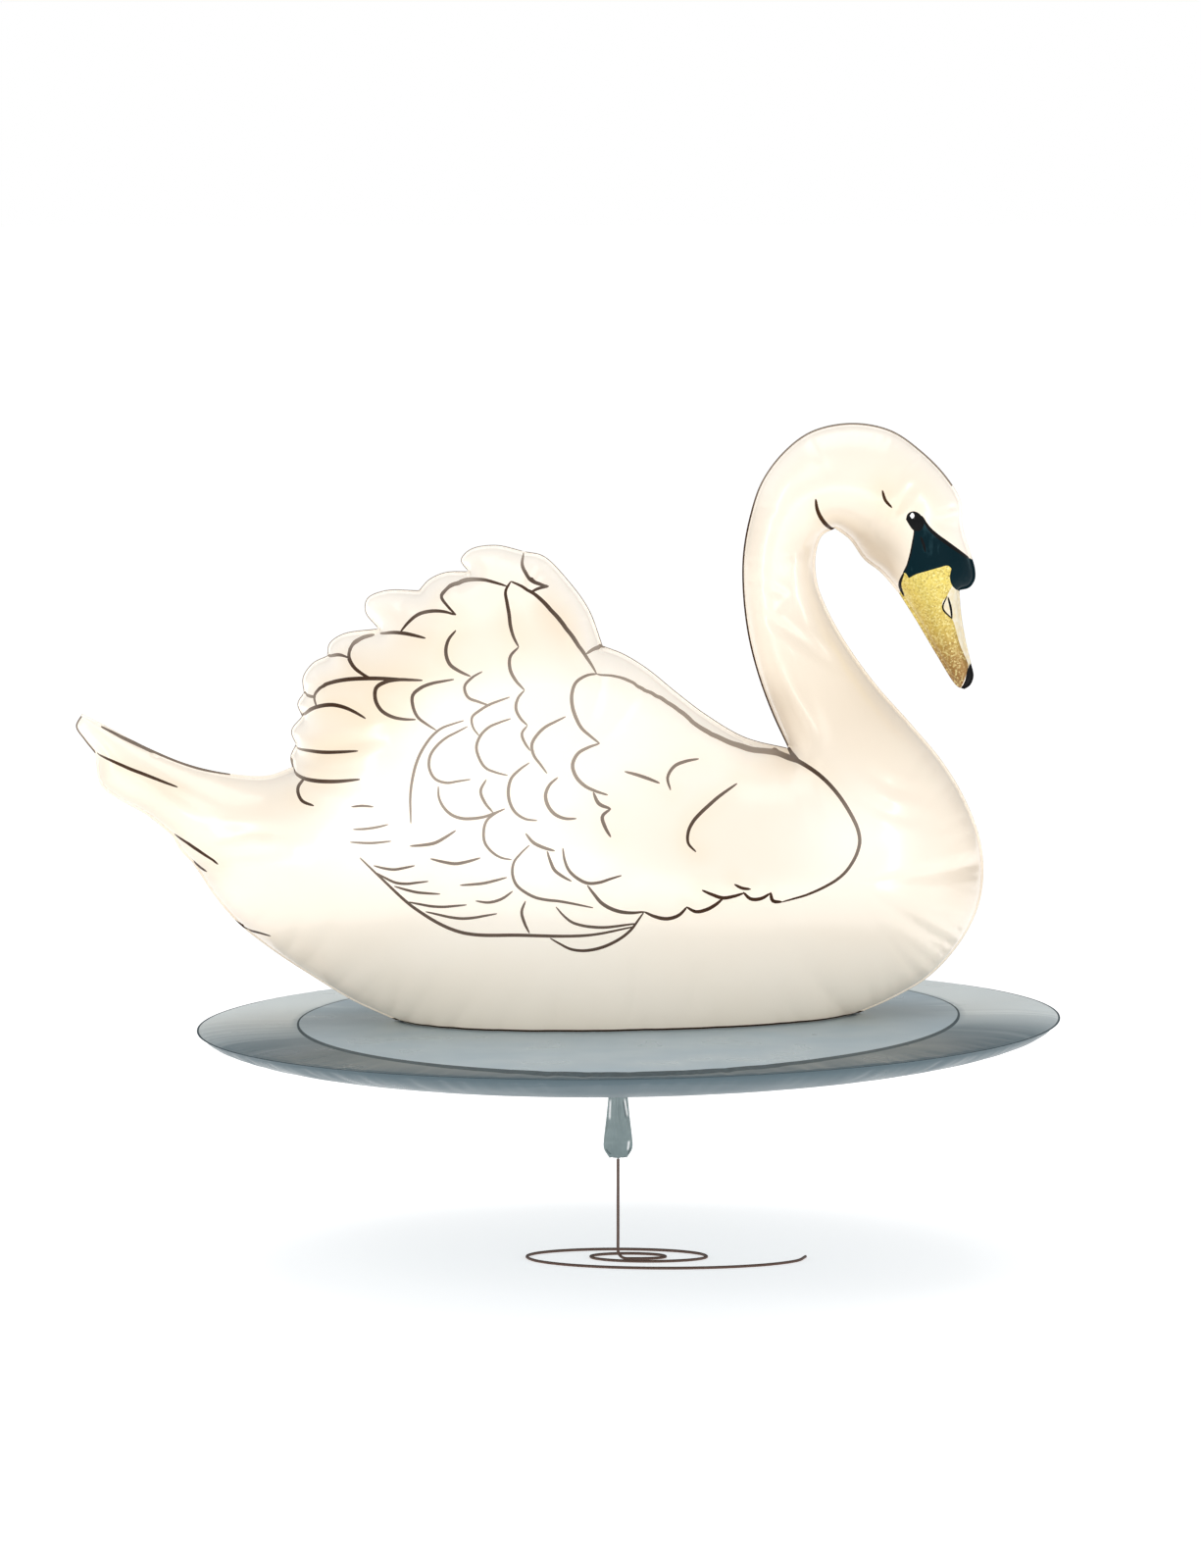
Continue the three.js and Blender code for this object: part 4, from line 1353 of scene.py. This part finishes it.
def stem_marks(x, up, marks):
    """Share of the given painted streaks, highlight and shade alike, at each point of the stem."""
    share = np.zeros_like(x)
    for low_x, high_x, low, high, width in marks:
        along = (up - low) / (high - low)
        inside_ends = np.clip(6 * along, 0, 1) * np.clip(6 * (1 - along), 0, 1)
        share += inside_ends * np.exp(-(((x - low_x - (high_x - low_x) * along) / width) ** 2))
    return np.clip(share, 0, 1)


def stem_pleats(x, up, side, neck, lip):
    """Waves of the stem's foil: pleats along its neck, and crumples over its pad and at its lip."""
    pleats = np.sin(x * NECK_PLEATS + side * 0.8 + 0.6 * np.sin(up * 160)) * (0.35 + 0.65 * neck)
    pleats += 0.6 * np.sin(x * PAD_CRUMPLES + up * 240 + side) * (1 - neck)
    return pleats + 0.8 * np.sin(up * LIP_CRUMPLES + x * 260 + side) * (1 - lip)


def make_stem():
    low, high = stem_low[2], stem_high[2]
    up = np.linspace(0, 1, STEM_ROWS)[:, None] * (high - low)
    half = np.interp(up, list(STEM_HALF_WIDTHS), list(STEM_HALF_WIDTHS.values()))
    for _ in range(STEM_ROUNDINGS):
        half = (np.vstack([half[:1], half[:-1]]) + half + np.vstack([half[1:], half[-1:]])) / 3
    angle = np.linspace(0, TURN, STEM_SPOKES + 1)[None, :-1]
    side = np.sign(np.sin(angle))
    x = half * np.cos(angle)
    full = np.clip((half - STEM_SEAL - np.abs(x)) / (half - STEM_SEAL), 0, 1)
    puff = (stem_high[1] - stem_low[1]) / 2 - STEM_HALF_FILM
    lip = np.clip(up / STEM_LIP, 0, 1) ** 0.6
    neck = np.clip((up - STEM_NECK_START) / STEM_NECK_BLEND, 0, 1)
    y = side * (STEM_HALF_FILM + puff * lip * (0.55 + 0.45 * neck) * (1 - (1 - full) ** 2) ** 0.5)
    y = y * (1 - 0.16 * (1 + stem_pleats(x, up, side, neck, lip)) * full**0.4)
    z = low + up + 0.0010 * (1 - np.cos(x * 900) * np.cos(x * 400)) * (1 - lip)
    places = np.stack([stem_x + x, y, z * np.ones_like(x)], axis=-1).reshape(-1, 3)
    starts = [row * STEM_SPOKES for row in range(STEM_ROWS)]
    faces = []
    for near, far in zip(starts, starts[1:]):
        faces += faces_between(near, far, STEM_SPOKES)
    faces.append(list(range(STEM_SPOKES))[::-1])
    faces.append([starts[-1] + spoke for spoke in range(STEM_SPOKES)])
    mesh = bpy.data.meshes.new("stem_foil")
    mesh.from_pydata(places.tolist(), [], faces)
    # Painted highlights and painted shade along the creases
    add_float(mesh, "stem_painted_highlight", stem_marks(x, up, STEM_HIGHLIGHTS).ravel())
    add_float(mesh, "stem_painted_shade", stem_marks(x, up, STEM_SHADES).ravel())
    mesh.shade_smooth()
    mesh.materials.append(stem_foil())
    stem = add_object("stem_foil", mesh)
    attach(stem, "root")
    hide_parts("inflation_stem")


make_swan()
make_pond()
make_stem()
ribbon.data.materials.append(ribbon_thread())


# Studio: white floor out to the horizon, white surroundings and soft lights
FLOOR_RADIUS = 40.0
FLOOR_SIDES = 64
FLOOR_GREY = 0.93
FLOOR_GLOW = 0.62
WORLD_LIGHT = 0.46
WHITE_LIGHT = (1, 1, 1, 1)
# Each is (name, place, target, size, watts)
LIGHTS = [
    ("key", (-2.6, -3.4, 3.6), (0, 0, 0.45), (2.2, 2.2), 18),
    ("low front", (0.2, -4.2, 0.3), (0, 0, 0.4), (5.0, 0.9), 26),
    ("left strip", (-3.4, -2.0, 1.3), (0, 0, 0.5), (0.3, 2.6), 16),
    ("right strip", (3.2, -2.4, 1.1), (0, 0, 0.5), (0.3, 2.6), 20),
    ("top", (0, 0.4, 4.2), (0, 0, 0.3), (4.0, 3.0), 42),
]


def make_floor():
    """Round white floor, which glows a little so that it stays white."""
    material, _, shader = new_material("studio_white")
    set_inputs(shader, {"Base Color": (FLOOR_GREY, FLOOR_GREY, FLOOR_GREY, 1), "Roughness": 0.9,
                        "Emission Color": WHITE_LIGHT, "Emission Strength": FLOOR_GLOW})
    turns = [TURN * i / FLOOR_SIDES for i in range(FLOOR_SIDES)]
    places = [(FLOOR_RADIUS * math.cos(turn), FLOOR_RADIUS * math.sin(turn), 0) for turn in turns]
    mesh = bpy.data.meshes.new("studio")
    mesh.from_pydata(places, [], [range(FLOOR_SIDES)])
    mesh.materials.append(material)
    add_object("studio", mesh)


def make_world():
    """White all round to the camera, and a softer light on the balloon."""
    world = bpy.data.worlds.new("world")
    world.use_nodes = True
    tree = world.node_tree
    background = tree.nodes["Background"]
    background.inputs["Color"].default_value = WHITE_LIGHT
    ray = tree.nodes.new("ShaderNodeLightPath")
    strength = map_range(tree, ray.outputs["Is Camera Ray"], 0.0, 1.0, WORLD_LIGHT, 1.0)
    tree.links.new(strength, background.inputs["Strength"])
    bpy.context.scene.world = world


def add_light(name, place, target, size, power):
    data = bpy.data.lights.new(name, "AREA")
    data.shape = "RECTANGLE"
    data.size, data.size_y = size
    data.energy = power
    light = add_object(name, data)
    light.location = place
    light.rotation_euler = (Vector(target) - Vector(place)).to_track_quat("-Z", "Y").to_euler()


make_floor()
for light in LIGHTS:
    add_light(*light)
make_world()
bpy.context.scene.view_settings.view_transform = "Standard"

bpy.context.view_layer.update()
